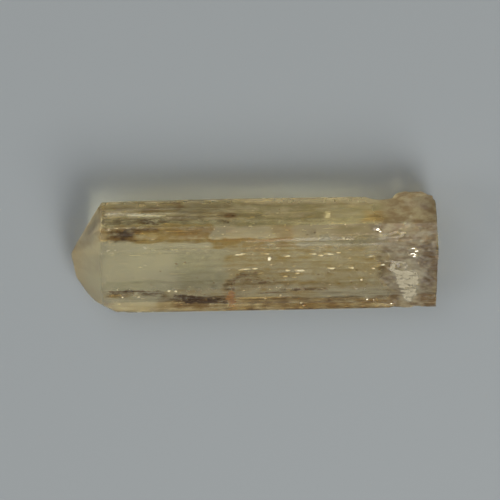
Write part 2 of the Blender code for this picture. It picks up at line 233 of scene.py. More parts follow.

# Stains close under the faces, by kind, each over the ones before it. Some rows paint highlights and shade
# instead, as the comments by them say. A patch is start and end X, lowest and highest place across the face,
# softness of its sides and strength.
STAINS_AND_PAINTED_LIGHT = {
    "lines": (
        ("rim", ((-11.6, 10.0, 0.1, 1.2, 0.1, 0.85),)),
        ("upper_flank", ((-11.6, 9.8, -0.3, 1.9, 0.1, 0.7),)),
        ("flat_top", ((-11.6, 9.4, 1.4, 3.6, 0.1, 0.25),)),
        ("main", (
            (-11.6, -2.1, -1.95, 2.3, 0.1, 0.15), (-2.1, 9.6, -1.95, 2.3, 0.1, 0.3),
        )),
        ("lower_flank", ((-11.6, 10.2, -4.3, -1.4, 0.1, 0.55),)),
        ("under_slope", ((-11.6, 13.8, -4.0, 4.0, 0.1, 0.4),)),
        ("heel", ((-11.6, 13.8, -4.0, 4.0, 0.1, 0.5),)),
        ("lower_rim", ((-11.6, 13.8, -4.0, 4.0, 0.1, 0.6),)),
        ("under_rim", ((-11.6, 13.8, -4.0, 4.0, 0.1, 0.6),)),
    ),
    "smoke": (
        # Pointed end's upper face: painted shade, which makes it darker than the faces below it
        ("over_flank", ((-14.0, -10.8, -3.0, 3.0, 0.1, 0.75),)),
        ("rim", ((-11.6, -3.0, 0.1, 1.2, 0.2, 0.75),)),
        ("main", (
            (-5.8, -2.4, -1.6, 0.6, 0.5, 0.2), (12.1, 13.8, -1.95, 2.3, 0.4, 0.65),
        )),
        ("lower_flank", ((12.2, 13.8, -4.2, -1.4, 0.4, 0.4),)),
        ("flat_top", (
            (12.3, 13.8, 1.5, 3.6, 0.4, 0.25), (3.0, 9.3, 1.6, 3.3, 0.3, 0.32),
            (-10.5, -8.6, 2.25, 3.28, 0.25, 0.6),
        )),
    ),
    "dust": (
        # Pointed end: a greyish film whose share is set face by face to even out the light, partly painted
        # light and shade
        ("over_flank", ((-14.0, -10.8, -3.0, 3.0, 0.1, 0.3),)),
        ("over_flat_top", ((-14.0, -10.8, -1.0, 4.0, 0.1, 0.8),)),
        ("over_main", ((-14.0, -10.8, -3.0, 3.0, 0.1, 0.4),)),
        ("over_lower_flank", ((-14.0, -10.8, -5.0, 0.0, 0.1, 0.3),)),
        ("corner", ((-14.0, -10.8, -4.0, 4.0, 0.1, 0.5),)),
        ("steep_corner", ((-14.0, -10.8, -4.0, 4.0, 0.1, 0.6),)),
        ("rim", ((10.4, 13.8, 0.1, 2.6, 0.3, 0.5),)),
        ("main", ((9.6, 13.8, -1.95, 2.3, 0.3, 0.3),)),
        ("flat_top", ((9.3, 13.8, 1.5, 3.6, 0.4, 0.3),)),
        ("upper_flank", ((9.6, 13.8, -0.3, 1.9, 0.4, 0.3),)),
    ),
    "olive": (
        ("main", (
            (-5.7, -2.1, -1.7, 2.1, 0.4, 0.35), (-11.0, -2.1, -1.65, -0.85, 0.25, 0.4),
            (5.8, 8.7, -1.75, -1.1, 0.2, 0.6),
        )),
        ("upper_flank", (
            (-1.4, 5.0, -0.1, 1.7, 0.3, 0.5), (-11.3, 9.6, 0.1, 1.75, 0.3, 0.6),
        )),
        ("flat_top", (
            (5.9, 8.6, 1.6, 3.2, 0.3, 0.6), (-2.9, 2.5, 2.45, 3.3, 0.15, 0.28),
            (3.0, 6.0, 1.98, 3.25, 0.15, 0.15),
        )),
        ("lower_flank", ((-9.6, -7.0, -4.1, -2.2, 0.3, 0.25),)),
        ("rim", ((-11.6, -1.0, 0.1, 1.05, 0.2, 0.75),)),
    ),
    "golden": (
        ("flat_top", (
            (-11.2, -10.2, 2.2, 3.3, 0.3, 0.6), (-8.6, -3.15, 2.02, 3.35, 0.12, 0.9),
            (-3.2, 2.9, 1.6, 2.3, 0.14, 0.9), (1.5, 3.0, 1.8, 3.3, 0.15, 0.35),
            (-8.4, -7.0, 2.1, 3.2, 0.4, 0.4),
        )),
        ("upper_flank", (
            (-10.6, -3.4, -0.15, 0.22, 0.1, 0.6), (8.0, 9.95, 0.0, 1.05, 0.3, 0.75),
        )),
        ("main", (
            (-2.1, 10.0, -1.95, 2.25, 0.22, 0.55), (1.2, 5.2, 1.75, 2.25, 0.15, 0.4),
        )),
        ("lower_flank", (
            (-11.2, -8.8, -2.2, -1.4, 0.15, 0.6), (-7.0, 5.0, -4.1, -1.4, 0.25, 0.5),
            (-0.9, 10.4, -4.3, -2.45, 0.25, 0.45),
        )),
    ),
    "mauve": (
        ("flat_top", (
            (9.3, 13.8, 1.5, 3.6, 0.4, 0.75), (1.6, 2.9, 1.6, 3.2, 0.2, 0.28),
            (6.0, 9.4, 1.6, 3.3, 0.4, 0.35),
        )),
        ("upper_flank", ((9.6, 13.8, -0.3, 1.9, 0.4, 0.75),)),
        ("rim", ((9.5, 13.8, 0.1, 2.6, 0.3, 0.8),)),
        # These two rows on the pointed end darken its upper faces: painted shade
        ("over_flank", ((-14.0, -10.8, -3.0, 3.0, 0.1, 0.3),)),
        ("over_flat_top", ((-14.0, -10.8, -1.0, 4.0, 0.1, 0.1),)),
        ("main", (
            (9.4, 13.8, -1.95, 2.3, 0.3, 0.7), (10.28, 10.92, -0.18, 0.42, 0.16, 0.85),
        )),
        ("lower_flank", (
            (-1.45, -0.85, -3.7, -1.7, 0.15, 0.6), (9.9, 13.8, -4.2, -1.4, 0.3, 0.6),
            (-0.8, 10.0, -4.3, -2.6, 0.3, 0.45),
        )),
    ),
    "brown": (
        ("rim", (
            (-11.3, -5.0, 0.15, 0.8, 0.12, 0.6), (-5.4, 8.5, 0.2, 0.45, 0.12, 0.35),
        )),
        ("upper_flank", (
            (-11.0, -5.0, 0.25, 0.85, 0.12, 0.7), (-8.2, -6.6, 0.3, 0.78, 0.15, 0.5),
            (-5.2, -1.3, 0.3, 1.2, 0.3, 0.42), (-11.0, -1.0, 1.15, 1.7, 0.2, 0.3),
            (-2.7, -1.2, 0.2, 1.0, 0.15, 0.45), (-1.3, 4.2, 0.35, 1.1, 0.4, 0.22),
            (-1.7, -1.3, 0.75, 0.95, 0.08, 0.5), (-2.05, -1.65, 0.15, 0.35, 0.08, 0.5),
            (-8.0, -5.4, 1.3, 1.62, 0.1, 0.35), (8.7, 9.6, 0.25, 0.8, 0.2, 0.35),
            (12.4, 13.8, -0.3, 1.9, 0.3, 0.3),
        )),
        ("flat_top", (
            (-10.7, -8.2, 2.22, 3.28, 0.22, 0.8), (-10.0, -8.8, 2.4, 3.1, 0.2, 0.95),
            (-10.3, -8.5, 2.36, 3.2, 0.2, 0.5), (-9.0, -7.1, 2.86, 3.3, 0.12, 0.85),
            (-7.4, -3.2, 2.05, 3.3, 0.2, 0.18), (4.25, 4.65, 2.55, 2.78, 0.1, 0.4),
            # The second row on the next line is painted shade: the dark ring round the glint in the pit at X
            # 9.06
            (3.75, 4.05, 2.4, 2.6, 0.1, 0.35), (8.7, 9.45, 2.5, 3.06, 0.12, 0.6),
            (12.4, 13.8, 1.5, 3.6, 0.3, 0.35),
        )),
        ("main", (
            (-11.2, -7.0, -1.93, -1.72, 0.06, 0.6), (-1.8, -1.3, -1.98, -1.5, 0.12, 0.9),
            (-1.85, -1.35, -1.6, -0.8, 0.18, 0.6), (-1.6, -1.0, -1.0, -0.6, 0.14, 0.55),
            (-1.2, 0.3, -0.65, -0.15, 0.16, 0.45), (-1.5, 2.6, -1.55, -0.85, 0.3, 0.4),
            (2.4, 5.6, -1.7, -1.25, 0.25, 0.25), (9.0, 9.4, -0.9, 1.2, 0.14, 0.6),
            (9.2, 9.8, -1.5, -0.8, 0.14, 0.6), (9.3, 10.5, 1.45, 1.7, 0.12, 0.35),
            (12.05, 13.8, -1.95, 2.3, 0.3, 0.72), (9.8, 10.9, -1.95, -0.45, 0.3, 0.35),
            (10.38, 10.74, -0.06, 0.3, 0.12, 0.85), (10.9, 12.2, 0.75, 1.0, 0.15, 0.35),
            (9.6, 12.4, 1.95, 2.3, 0.15, 0.4),
        )),
        ("lower_flank", (
            (-11.0, -9.0, -2.15, -1.55, 0.12, 0.35), (-8.4, -6.9, -2.0, -1.6, 0.12, 0.55),
            (-7.1, -6.6, -2.4, -1.9, 0.12, 0.5), (-7.0, -5.4, -3.9, -1.9, 0.3, 0.45),
            (-5.7, -2.05, -3.65, -2.0, 0.25, 0.88), (-5.1, -3.2, -3.05, -2.3, 0.2, 0.8),
            (0.6, 2.2, -1.98, -1.82, 0.06, 0.6), (1.9, 5.0, -1.7, -1.52, 0.06, 0.55),
            (4.9, 9.9, -4.1, -1.6, 0.3, 0.22), (-0.6, 13.8, -4.3, -2.45, 0.3, 0.62),
            (-11.0, -0.6, -4.3, -3.5, 0.3, 0.2), (12.1, 13.8, -4.2, -1.4, 0.3, 0.5),
            (9.8, 11.0, -4.2, -1.4, 0.3, 0.35),
        )),
    ),
    "orange": (
        ("flat_top", (
            (-5.3, -3.5, 2.3, 3.1, 0.3, 0.3), (-3.25, 2.4, 2.05, 2.28, 0.1, 0.4),
            (2.55, 2.8, 2.2, 3.1, 0.1, 0.25),
        )),
        ("main", ((-0.9, 1.0, 1.9, 2.2, 0.15, 0.35),)),
        ("lower_flank", ((-2.15, -1.35, -3.75, -1.6, 0.15, 0.5),)),
    ),
    "cream": (
        ("rim", (
            # The first row on the next line is the light line along the rim's top: painted highlight
            (-10.5, 5.0, 0.88, 1.03, 0.05, 0.5), (1.0, 9.0, 0.3, 0.9, 0.2, 0.25),
        )),
        ("upper_flank", (
            # These rows are the bright streaks on the upper flank: painted highlights
            (-11.0, -9.9, 0.95, 1.3, 0.08, 0.95), (-10.2, -9.4, 1.02, 1.22, 0.08, 0.5),
            (-9.2, -7.2, 0.82, 1.17, 0.08, 0.9),
        )),
        ("main", (
            # The rows up to X 9.0 lie under the single pale flecks: painted highlights. Those from X 10.05 on
            # are the cream cloud
            (-1.4, -0.2, 0.06, 0.24, 0.08, 0.9), (-0.6, 0.5, 0.12, 0.28, 0.08, 0.7),
            (-1.1, -0.4, 1.55, 1.75, 0.08, 0.7), (2.0, 2.9, -0.1, 0.08, 0.08, 0.7),
            (2.8, 3.9, -0.16, 0.06, 0.1, 0.8), (1.9, 3.0, 1.24, 1.46, 0.1, 0.7),
            (4.9, 6.0, 1.4, 1.6, 0.1, 0.8), (5.3, 6.0, 0.02, 0.2, 0.1, 0.8),
            (8.3, 9.0, 1.1, 1.3, 0.1, 0.7), (10.05, 10.38, -0.45, 0.5, 0.2, 0.9),
            (10.2, 11.1, 0.32, 0.66, 0.2, 0.8), (10.8, 11.2, -0.4, 0.5, 0.2, 0.8),
            (10.25, 12.05, -0.8, -0.14, 0.3, 0.9), (10.65, 12.1, -1.3, -0.55, 0.35, 0.9),
            (10.85, 11.95, -1.95, -1.05, 0.35, 0.95),
        )),
        ("lower_flank", ((10.85, 11.85, -3.2, -1.6, 0.45, 0.95),)),
    ),
}

# How far from a face's plane a point still has all of its stains, and how far none
STAIN_NEAR = (-0.22, -0.50)

# Clouds of flakes inside the crystal, by mineral: X, place across the face, half length, half breadth,
# shallowest and deepest depth below the face, how many flakes, and a flake's half length
CLOUDS = {
    "dark": (
        ("flat_top", (
            (-9.5, 2.76, 0.85, 0.36, 0.06, 0.6, 190, 0.07),
            (-9.35, 2.78, 0.42, 0.24, 0.05, 0.4, 130, 0.08),
            (-9.55, 2.4, 0.26, 0.14, 0.05, 0.3, 26, 0.07), (-8.0, 3.08, 0.8, 0.1, 0.05, 0.25, 30, 0.08),
        )),
        ("upper_flank", ((-7.4, 0.52, 0.9, 0.24, 0.1, 0.6, 26, 0.12),)),
        ("lower_flank", (
            (-4.2, -2.65, 1.6, 0.42, 0.06, 0.6, 120, 0.17), (-3.4, -2.95, 1.4, 0.26, 0.05, 0.4, 70, 0.17),
            (-5.3, -2.2, 0.9, 0.14, 0.05, 0.4, 30, 0.14), (-7.6, -1.8, 0.8, 0.1, 0.05, 0.2, 22, 0.14),
            (-10.0, -1.75, 1.0, 0.2, 0.05, 0.3, 34, 0.08),
        )),
    ),
    "rust": (
        ("main", (
            (-1.58, -1.8, 0.13, 0.12, 0.04, 0.3, 22, 0.07), (-1.7, -1.4, 0.09, 0.24, 0.04, 0.3, 18, 0.07),
            (-1.5, -1.02, 0.1, 0.22, 0.04, 0.3, 16, 0.07),
            (-1.25, -0.72, 0.24, 0.08, 0.04, 0.3, 14, 0.08),
            (-0.75, -0.42, 0.45, 0.07, 0.04, 0.3, 18, 0.1), (0.05, -0.22, 0.35, 0.05, 0.04, 0.3, 10, 0.1),
            (-0.4, -0.95, 0.75, 0.05, 0.04, 0.3, 16, 0.12), (0.8, -1.2, 0.9, 0.05, 0.04, 0.3, 16, 0.14),
        )),
        ("lower_flank", (
            (1.4, -1.9, 0.8, 0.03, 0.04, 0.2, 18, 0.14), (3.5, -1.62, 1.5, 0.03, 0.04, 0.2, 26, 0.18),
            (5.5, -2.95, 0.16, 0.06, 0.04, 0.2, 8, 0.07),
        )),
        ("main", ((-9.2, -1.84, 2.0, 0.03, 0.04, 0.2, 34, 0.16),)),
    ),
    "grey": (
        ("over_flank", (
            (-12.0, 0.95, 0.8, 1.05, 0.24, 0.6, 520, 0.11), (-12.45, 0.7, 0.45, 0.7, 0.24, 0.5, 160, 0.1),
            (-11.6, 1.1, 0.35, 0.8, 0.24, 0.5, 200, 0.1),
        )),
    ),
    "orange": (
        ("lower_flank", (
            (-1.76, -2.3, 0.3, 0.62, 0.02, 0.2, 150, 0.11), (-1.7, -3.0, 0.26, 0.55, 0.02, 0.2, 80, 0.1),
        )),
    ),
    "cream": (
        ("main", (
            (11.3, -0.7, 0.62, 0.34, -0.02, 0.04, 150, 0.08),
            (11.3, -1.2, 0.48, 0.4, -0.02, 0.04, 150, 0.08),
            (11.4, -1.7, 0.44, 0.36, -0.02, 0.04, 140, 0.08),
        )),
        ("lower_flank", (
            (11.35, -2.1, 0.42, 0.4, -0.02, 0.04, 130, 0.08),
            (11.4, -2.8, 0.36, 0.44, -0.02, 0.04, 120, 0.08),
        )),
    ),
}

# How much nearer to a face than half its cloud's least depth the middle of a flake may be
MOST_PROUD = 0.02

# Cream bruises in the skin of the crystal: X, place across the face, half length, half breadth, height
BRUISES = (
    ("main", (
        (10.12, 0.16, 0.19, 0.32, 0.026), (10.22, -0.22, 0.22, 0.2, 0.026),
        (10.5, -0.38, 0.28, 0.2, 0.032), (10.84, -0.42, 0.3, 0.24, 0.032), (10.3, 0.5, 0.18, 0.13, 0.02),
        (10.62, 0.62, 0.22, 0.1, 0.018), (10.96, 0.46, 0.16, 0.14, 0.018), (11.1, 0.06, 0.14, 0.26, 0.02),
        (11.3, -0.48, 0.45, 0.25, 0.03), (11.75, -0.5, 0.32, 0.2, 0.026),
        (10.62, -0.85, 0.36, 0.22, 0.03), (11.2, -0.9, 0.44, 0.32, 0.038),
        (11.75, -0.98, 0.28, 0.24, 0.034), (10.78, -1.28, 0.34, 0.28, 0.034),
        (11.34, -1.4, 0.48, 0.34, 0.04), (11.8, -1.45, 0.22, 0.24, 0.032),
        (10.98, -1.72, 0.32, 0.24, 0.034),
    )),
    ("lower_flank", (
        (11.55, -1.85, 0.38, 0.28, 0.036), (11.08, -2.05, 0.38, 0.3, 0.036),
        (11.55, -2.4, 0.34, 0.34, 0.034), (11.1, -2.6, 0.26, 0.3, 0.03), (11.38, -3.0, 0.24, 0.26, 0.026),
        (11.1, -2.4, 0.2, 0.24, 0.014),
    )),
)

# Bright veils in the skin, in the same order of values: pale sheets that paint highlights, the streaks on the
# upper flank and the light line along the rim
HIGHLIGHT_VEILS = (
    ("upper_flank", (
        (-10.62, 1.12, 0.3, 0.11, 0.03), (-10.1, 1.13, 0.3, 0.08, 0.024),
        (-8.85, 1.04, 0.34, 0.09, 0.026), (-8.3, 1.01, 0.38, 0.11, 0.03), (-7.6, 0.97, 0.44, 0.07, 0.022),
        (-6.9, 0.94, 0.34, 0.04, 0.018),
    )),
    ("rim", (
        (-10.2, 0.78, 0.5, 0.035, 0.014), (-9.1, 0.76, 0.55, 0.025, 0.012),
        (-7.4, 0.78, 0.6, 0.022, 0.01), (-4.2, 0.76, 0.7, 0.02, 0.01),
    )),
)
BRUISE_ROWS = 11
BRUISE_COLUMNS = 22
BRUISE_RAGGED = 0.24         # how far a bruise's outline wavers, of its size

# Single pale flecks on the bright spots, painted highlights: X, place across the face, half length, half
# breadth
HIGHLIGHT_FLECKS = (
    ("main", (
        (-0.7, 0.15, 0.4, 0.045), (0.0, 0.2, 0.22, 0.04), (-0.8, 1.65, 0.24, 0.045),
        (1.1, 1.15, 0.12, 0.09), (2.45, -0.02, 0.2, 0.05), (2.25, -0.6, 0.16, 0.045),
        (3.3, -0.05, 0.34, 0.08), (3.15, -0.32, 0.2, 0.05), (4.3, 1.52, 0.3, 0.05),
        (4.85, 1.38, 0.22, 0.05), (6.2, 1.62, 0.16, 0.05), (-1.05, 1.6, 0.26, 0.05),
        (0.9, 1.62, 0.2, 0.04), (7.1, 0.1, 0.2, 0.05), (9.3, 0.35, 0.22, 0.05), (2.4, 1.35, 0.26, 0.045),
        (5.4, 1.5, 0.34, 0.05), (5.6, 0.1, 0.22, 0.06), (8.7, 0.0, 0.12, 0.05), (7.85, -1.05, 0.1, 0.07),
        (8.6, 1.2, 0.26, 0.05),
    )),
    ("rim", (
        (-9.6, 0.8, 0.9, 0.018), (-6.6, 0.82, 1.0, 0.014), (-2.6, 0.8, 1.2, 0.018),
        (1.5, 0.76, 1.0, 0.018), (5.4, 0.8, 1.4, 0.016),
    )),
    ("main", (
        (-6.3, -1.8, 0.12, 0.05), (-5.8, -1.85, 0.1, 0.045), (11.9, 1.78, 0.2, 0.03),
        (11.5, 1.26, 0.2, 0.03),
    )),
    ("flat_top", (
        (10.1, 1.9, 0.34, 0.05), (12.4, 1.9, 0.28, 0.04), (10.0, 2.8, 0.12, 0.05), (6.5, 2.2, 0.14, 0.06),
    )),
    ("upper_flank", (
        (11.5, 0.5, 0.22, 0.05), (11.0, -0.05, 0.14, 0.05), (10.3, 1.1, 0.16, 0.06),
    )),
    ("lower_flank", (
        (-10.5, -1.9, 0.12, 0.05), (-9.75, -2.1, 0.1, 0.05), (-8.55, -2.1, 0.12, 0.05),
        (1.9, -2.2, 0.1, 0.05), (0.75, -2.6, 0.1, 0.05), (3.4, -3.2, 0.1, 0.05), (3.6, -3.5, 0.12, 0.05),
        (8.8, -3.0, 0.12, 0.06),
    )),
)

# Bright cleavage glints, in the same order of values
GLINTS = (
    ("flat_top", (
        (9.06, 2.8, 0.15, 0.09), (9.22, 2.66, 0.08, 0.05),
    )),
    ("main", (
        (11.62, 1.9, 0.18, 0.035), (11.86, 1.66, 0.16, 0.03), (11.58, 1.42, 0.2, 0.04),
        (11.78, 1.28, 0.14, 0.03), (11.7, 1.12, 0.14, 0.035), (1.1, 1.15, 0.07, 0.05),
        (7.85, -1.05, 0.05, 0.035), (8.7, 0.02, 0.04, 0.02), (3.2, -0.02, 0.06, 0.02),
        (-0.7, 0.15, 0.07, 0.02), (2.3, -0.92, 0.03, 0.02),
    )),
    ("lower_flank", (
        (8.3, -2.85, 0.09, 0.05), (8.78, -2.98, 0.05, 0.03), (10.1, -3.45, 0.09, 0.03),
        (2.55, -3.35, 0.05, 0.02), (-10.5, -1.9, 0.04, 0.02), (-9.75, -2.1, 0.05, 0.025),
        (-8.55, -2.1, 0.05, 0.02),
    )),
    ("upper_flank", (
        (-10.7, 1.12, 0.12, 0.03), (-10.35, 1.14, 0.08, 0.02), (-8.4, 1.0, 0.16, 0.03),
        (-8.05, 1.04, 0.08, 0.02), (11.5, 0.5, 0.08, 0.025),
    )),
)

# Single dark specks, in the same order of values
SPECKS = (
    ("main", (
        (0.25, -0.65, 0.1, 0.07), (1.0, -0.75, 0.09, 0.07), (1.4, -1.0, 0.11, 0.07),
        (0.5, -1.0, 0.09, 0.06), (2.5, -0.55, 0.08, 0.06), (4.7, -0.45, 0.12, 0.08),
        (5.4, -0.35, 0.1, 0.07), (5.9, 0.0, 0.09, 0.06), (7.5, -0.1, 0.12, 0.08), (9.15, -0.1, 0.1, 0.07),
        (7.1, -1.3, 0.1, 0.07), (6.2, -1.4, 0.1, 0.07), (8.2, -1.5, 0.12, 0.07), (9.35, -1.5, 0.11, 0.07),
        (1.35, 1.3, 0.09, 0.06), (-5.7, 0.8, 0.13, 0.09), (-5.05, 0.95, 0.09, 0.07),
        (-6.9, 0.1, 0.08, 0.06), (-8.9, -0.5, 0.07, 0.06), (-4.2, -0.6, 0.08, 0.06),
        (-3.0, -1.1, 0.1, 0.06), (-7.6, -1.2, 0.09, 0.06), (-1.62, -1.82, 0.14, 0.12),
    )),
    ("flat_top", (
        (4.45, 2.65, 0.1, 0.06), (3.9, 2.5, 0.08, 0.05),
    )),
    ("lower_flank", ((4.8, -3.1, 0.1, 0.06),)),
    ("upper_flank", (
        (-1.5, 0.85, 0.1, 0.07), (-1.85, 0.25, 0.1, 0.07),
    )),
)

# How much longer, broader and thicker the single flecks and glints are made than a plain flake
FLECK_STRETCH = (1.3, 2.0, 1.0)
GLINT_STRETCH = (1.0, 1.0, 0.2)

# What is strewn at random below the upper faces: how many, the least and the greatest half length and half
# breadth, and the least and the greatest depth
TUBES = (12, (0.6, 0.012), (1.8, 0.024), (0.15, 0.80))
FINE_FLECKS = (110, (0.04, 0.012), (0.22, 0.032), (0.02, 0.30))
FINE_SPECKS = (130, (0.02, 0.014), (0.07, 0.040), (0.02, 0.40))
FINE_GLINTS = (120, (0.02, 0.015), (0.09, 0.035), (0.02, 0.40))
GLINT_LEAN = 0.22            # how far strewn glints are leaned at random
STREWN_X = (-10.6, 12.6)
STREWN_ACROSS = {
    "upper_flank": (0.0, 1.5),
    "flat_top": (1.7, 3.1),
    "main": (-1.7, 2.0),
    "lower_flank": (-3.6, -2.0),
}

WORN_GAP = (0.02, 0.13)      # the gap between two faces where wear starts to fade and where it ends

# The grid: rows that fan out over the pointed end, rows along the prism and rings over the base
FAN_X = -10.2
TIP_ROWS = 72
BODY_ROWS = 236
BASE_RINGS = 24
SEEN_FACES = ("rim", "upper_flank", "flat_top", "main", "lower_flank")
SEEN_SPACING = 0.052
HIDDEN_SPACING = 0.17
SHARP_ANGLE = 28.0           # in degrees, edges sharper than this aren't shaded smooth

# Rays from the axis
NEVER = 1e3                  # a distance that no face of the crystal reaches
LEAST_FACING = 0.02          # cosine of the steepest angle at which a ray is said to reach a plane
FARTHEST = 8.0               # beyond any point of the crystal

# Flakes: a ring of this many points, turned and drawn in and out at random, and a point on each side
FLAKE_SIDES = 6
RING_TURNED = (-0.25, 0.25)
RING_RAGGED = (0.7, 1.15)
TWO_ENDS = np.array([[0.0, 0.0, 1.0], [0.0, 0.0, -1.0]])
NO_QUADS = np.zeros((0, 4), int)
FLAKE_THICKNESS = 0.35       # of a single flake's breadth
CLOUD_FLAKE = (1.0, 0.42, 0.14)    # length, breadth and thickness of a cloud's flakes, of their length
CLOUD_SIZES = (0.45, 1.3)    # the least and the greatest of them, of the cloud's given length
CLOUD_LEAN = 0.16            # how far they are leaned at random

REFRACTIVE_INDEX = 1.62

# Soft lights: azimuth from +X towards +Y and elevation in degrees, distance and side in metres, and colour
LIGHTS = {
    "key": (-55.0, 46.0, 0.35, 0.24, (1.0, 0.975, 0.93)),
    "fill": (112.0, 44.0, 0.40, 0.26, (1.0, 0.985, 0.96)),
    "tip": (184.0, 34.0, 0.40, 0.20, (1.0, 0.985, 0.95)),
}
FLOOR_SIDE = 1.6             # in metres
PX_PER_MM = 13.587           # of the photograph, at the crystal's axis
PHOTO_SIDE = 500.0
AXIS_PX = (254.1, 256.0)     # the middle of the axis in the photograph


def rows_of(table):
    """The rows of a table, with the face in front of each."""
    return [(face, *row) for face, rows in table for row in rows]


def wave(points, wavelength, seed, count=14):
    """Smooth noise about 1 strong: sine waves in random directions, added up, over the root of half of them."""
    draw = np.random.default_rng(seed)
    directions = draw.normal(size=(count, points.shape[-1]))
    directions /= np.linalg.norm(directions, axis=1, keepdims=True)
    stretch = draw.uniform(0.7, 1.5, (count, 1))
    phases = draw.uniform(0.0, 2.0 * math.pi, count)
    turns = points @ (directions * stretch * 2.0 * math.pi / wavelength).T + phases
    return np.sin(turns).sum(axis=-1) * math.sqrt(2.0 / count)


def smooth_step(value, low, high):
    """0 below low and 1 above high, with 3t^2 - 2t^3 between."""
    t = np.clip((value - low) / (high - low), 0.0, 1.0)
    return t * t * (3.0 - 2.0 * t)


def face_normal(turn, tilt=90.0):
    """(-cos tilt, sin tilt cos turn, sin tilt sin turn). A tilt of 90 is a prism face."""
    around = math.radians(turn)
    out = math.sin(math.radians(tilt))
    return np.array([-math.cos(math.radians(tilt)), out * math.cos(around), out * math.sin(around)])


def face_across(turn):
    """The direction across a prism face: its normal cross +X."""
    around = math.radians(turn)
    return np.array([0.0, math.sin(around), -math.cos(around)])


def face_plane(name):
    """A face's turn, the normal of its plane and the plane's distance, which is normal . any point of it."""
    if name in PRISM_FACES:
        turn, distance = PRISM_FACES[name]
        return turn, face_normal(turn), distance
    turn, tilt, meets_axis = PYRAMID_FACES[name]
    normal = face_normal(turn, tilt)
    return turn, normal, normal[0] * meets_axis


def corner_across(face, neighbour):
    """Where two prism faces meet, across the first: (d2 - d1 cos a) / sin a, a being turn 1 less turn 2."""
    turn, distance = PRISM_FACES[face]
    other_turn, other_distance = PRISM_FACES[neighbour]
    between = math.radians(turn - other_turn)
    return (other_distance - distance * math.cos(between)) / math.sin(between)


def column_turns():
    """Angles about the axis: evenly spaced points across each face, from corner to corner."""
    order = sorted(PRISM_FACES, key=lambda name: PRISM_FACES[name][0] % 360.0)
    turns = []
    for place, name in enumerate(order):
        before = order[place - 1]
        after = order[(place + 1) % len(order)]
        start = corner_across(name, before)
        end = corner_across(name, after)
        spacing = SEEN_SPACING if name in SEEN_FACES else HIDDEN_SPACING
        count = max(3, round(abs(end - start) / spacing))
        across = start + (end - start) * np.arange(count) / count
        turn, distance = PRISM_FACES[name]
        turns.append(math.radians(turn) - np.arctan2(across, distance))
    return np.unwrap(np.concatenate(turns))


def striations(name, x, across):
    """Fine steps across a face: broken lines of random height, blended from set to set along the crystal."""
    spacing, depth = STRIATIONS[name]
    seed = sorted(STRIATIONS).index(name)
    draw = np.random.default_rng(100 + seed)
    count = int(2.0 * LINES_REACH / spacing)
    knots = np.cumsum(draw.uniform(0.25, 1.75, count)) * spacing - LINES_REACH
    shared = draw.uniform(0.0, 0.5, count)
    heights = shared + draw.uniform(0.0, 0.5, (len(LINE_STATIONS), count))
    drifted = x + LINE_DRIFT * np.sin(across * 5.1 + seed)
    place = np.interp(drifted, LINE_STATIONS, np.arange(len(LINE_STATIONS)))
    relief = np.zeros_like(x)
    for station, line in enumerate(heights):
        weight = np.clip(1.0 - np.abs(place - station), 0.0, 1.0)
        relief += weight * np.interp(across, knots, line)
    return depth * relief


def ledge_cut(ledge, x, across):
    """A leaned floor inside a strip: depth * (0.5 - place across the width -/+ place along the length)."""
    start, end, middle, width, depth, fades_towards = ledge
    along = (x - (start + end) / 2.0) / (end - start)
    aside = (across - middle) / width
    inside = (np.abs(along) < 0.5) & (np.abs(aside) < 0.5)
    cut = depth * (0.5 - aside - fades_towards * along)
    return np.where(inside, np.clip(cut, 0.0, None), 0.0)


def hollow_cut(index, hollow, x, across):
    """The bottom of a flattened ball whose radius wavers with the angle."""
    middle_x, middle, radius_x, radius_across, depth = hollow
    above = 1.0 - HOLLOW_SUNK
    rim_share = math.sqrt(1.0 - above ** 2)
    aside = (across - middle) / radius_across
    along = (x - middle_x) / radius_x
    angle = np.arctan2(aside, along)
    waver = 1.0 + 0.13 * np.sin(2.0 * angle + index) + 0.08 * np.sin(5.0 * angle + 2.3 * index)
    t = np.hypot(along, aside) / waver * rim_share
    ball = np.sqrt(np.clip(1.0 - t * t, 0.0, None))
    return np.clip(depth / HOLLOW_SUNK * (ball - above), 0.0, None)


def pit_places():
    """Places of the etch pits, none nearer another than the spacing, and their radii."""
    draw = random.Random(PIT_SEED)
    places = []
    while len(places) < PIT_COUNT:
        place = Vector((draw.uniform(*PIT_X), draw.uniform(*PIT_ACROSS)))
        if all((place - other).length > PIT_SPACING for other in places):
            places.append(place)
    sizes = random.Random(PIT_SEED + 1)
    return [(place.x, place.y, sizes.uniform(*PIT_RADIUS)) for place in places]


def pit_cut(pit, x, across):
    """A four-sided pyramid, point down: slope times what the radius has left over the sum of both offsets."""
    middle_x, middle, radius = pit
    offset = np.abs(x - middle_x) / PIT_LENGTHENED + np.abs(across - middle)
    return PIT_SLOPE * np.clip(radius - offset, 0.0, None)


def face_relief(name, x, across):
    """How far growth and wear have cut below a prism face's plane, less what the face swells out of it."""
    relief = striations(name, x, across)
    place = np.stack([0.7 * x, across, np.full_like(x, PRISM_FACES[name][1])], axis=-1)
    uneven = np.abs(0.7 * wave(place, 0.9, 81) + 0.5 * wave(place, 0.35, 82))
    relief = relief + BASE_UNEVEN * smooth_step(x, *BASE_UNEVEN_X) * uneven
    if name in SWELLS:
        start, end, swell = SWELLS[name]
        along = np.clip((x - start) / (end - start), 0.0, 1.0)
        relief = relief - swell * np.clip(np.sin(math.pi * along), 0.0, None) ** 0.5
    for face, *ledge in rows_of(LEDGES):
        if face == name:
            relief = relief + ledge_cut(ledge, x, across)
    for index, (face, *hollow) in enumerate(rows_of(HOLLOWS)):
        if face == name:
            relief = relief + HOLLOW_SHARE * hollow_cut(index, hollow, x, across)
    if name == "main":
        for pit in pit_places():
            relief = relief + pit_cut(pit, x, across)
    return relief


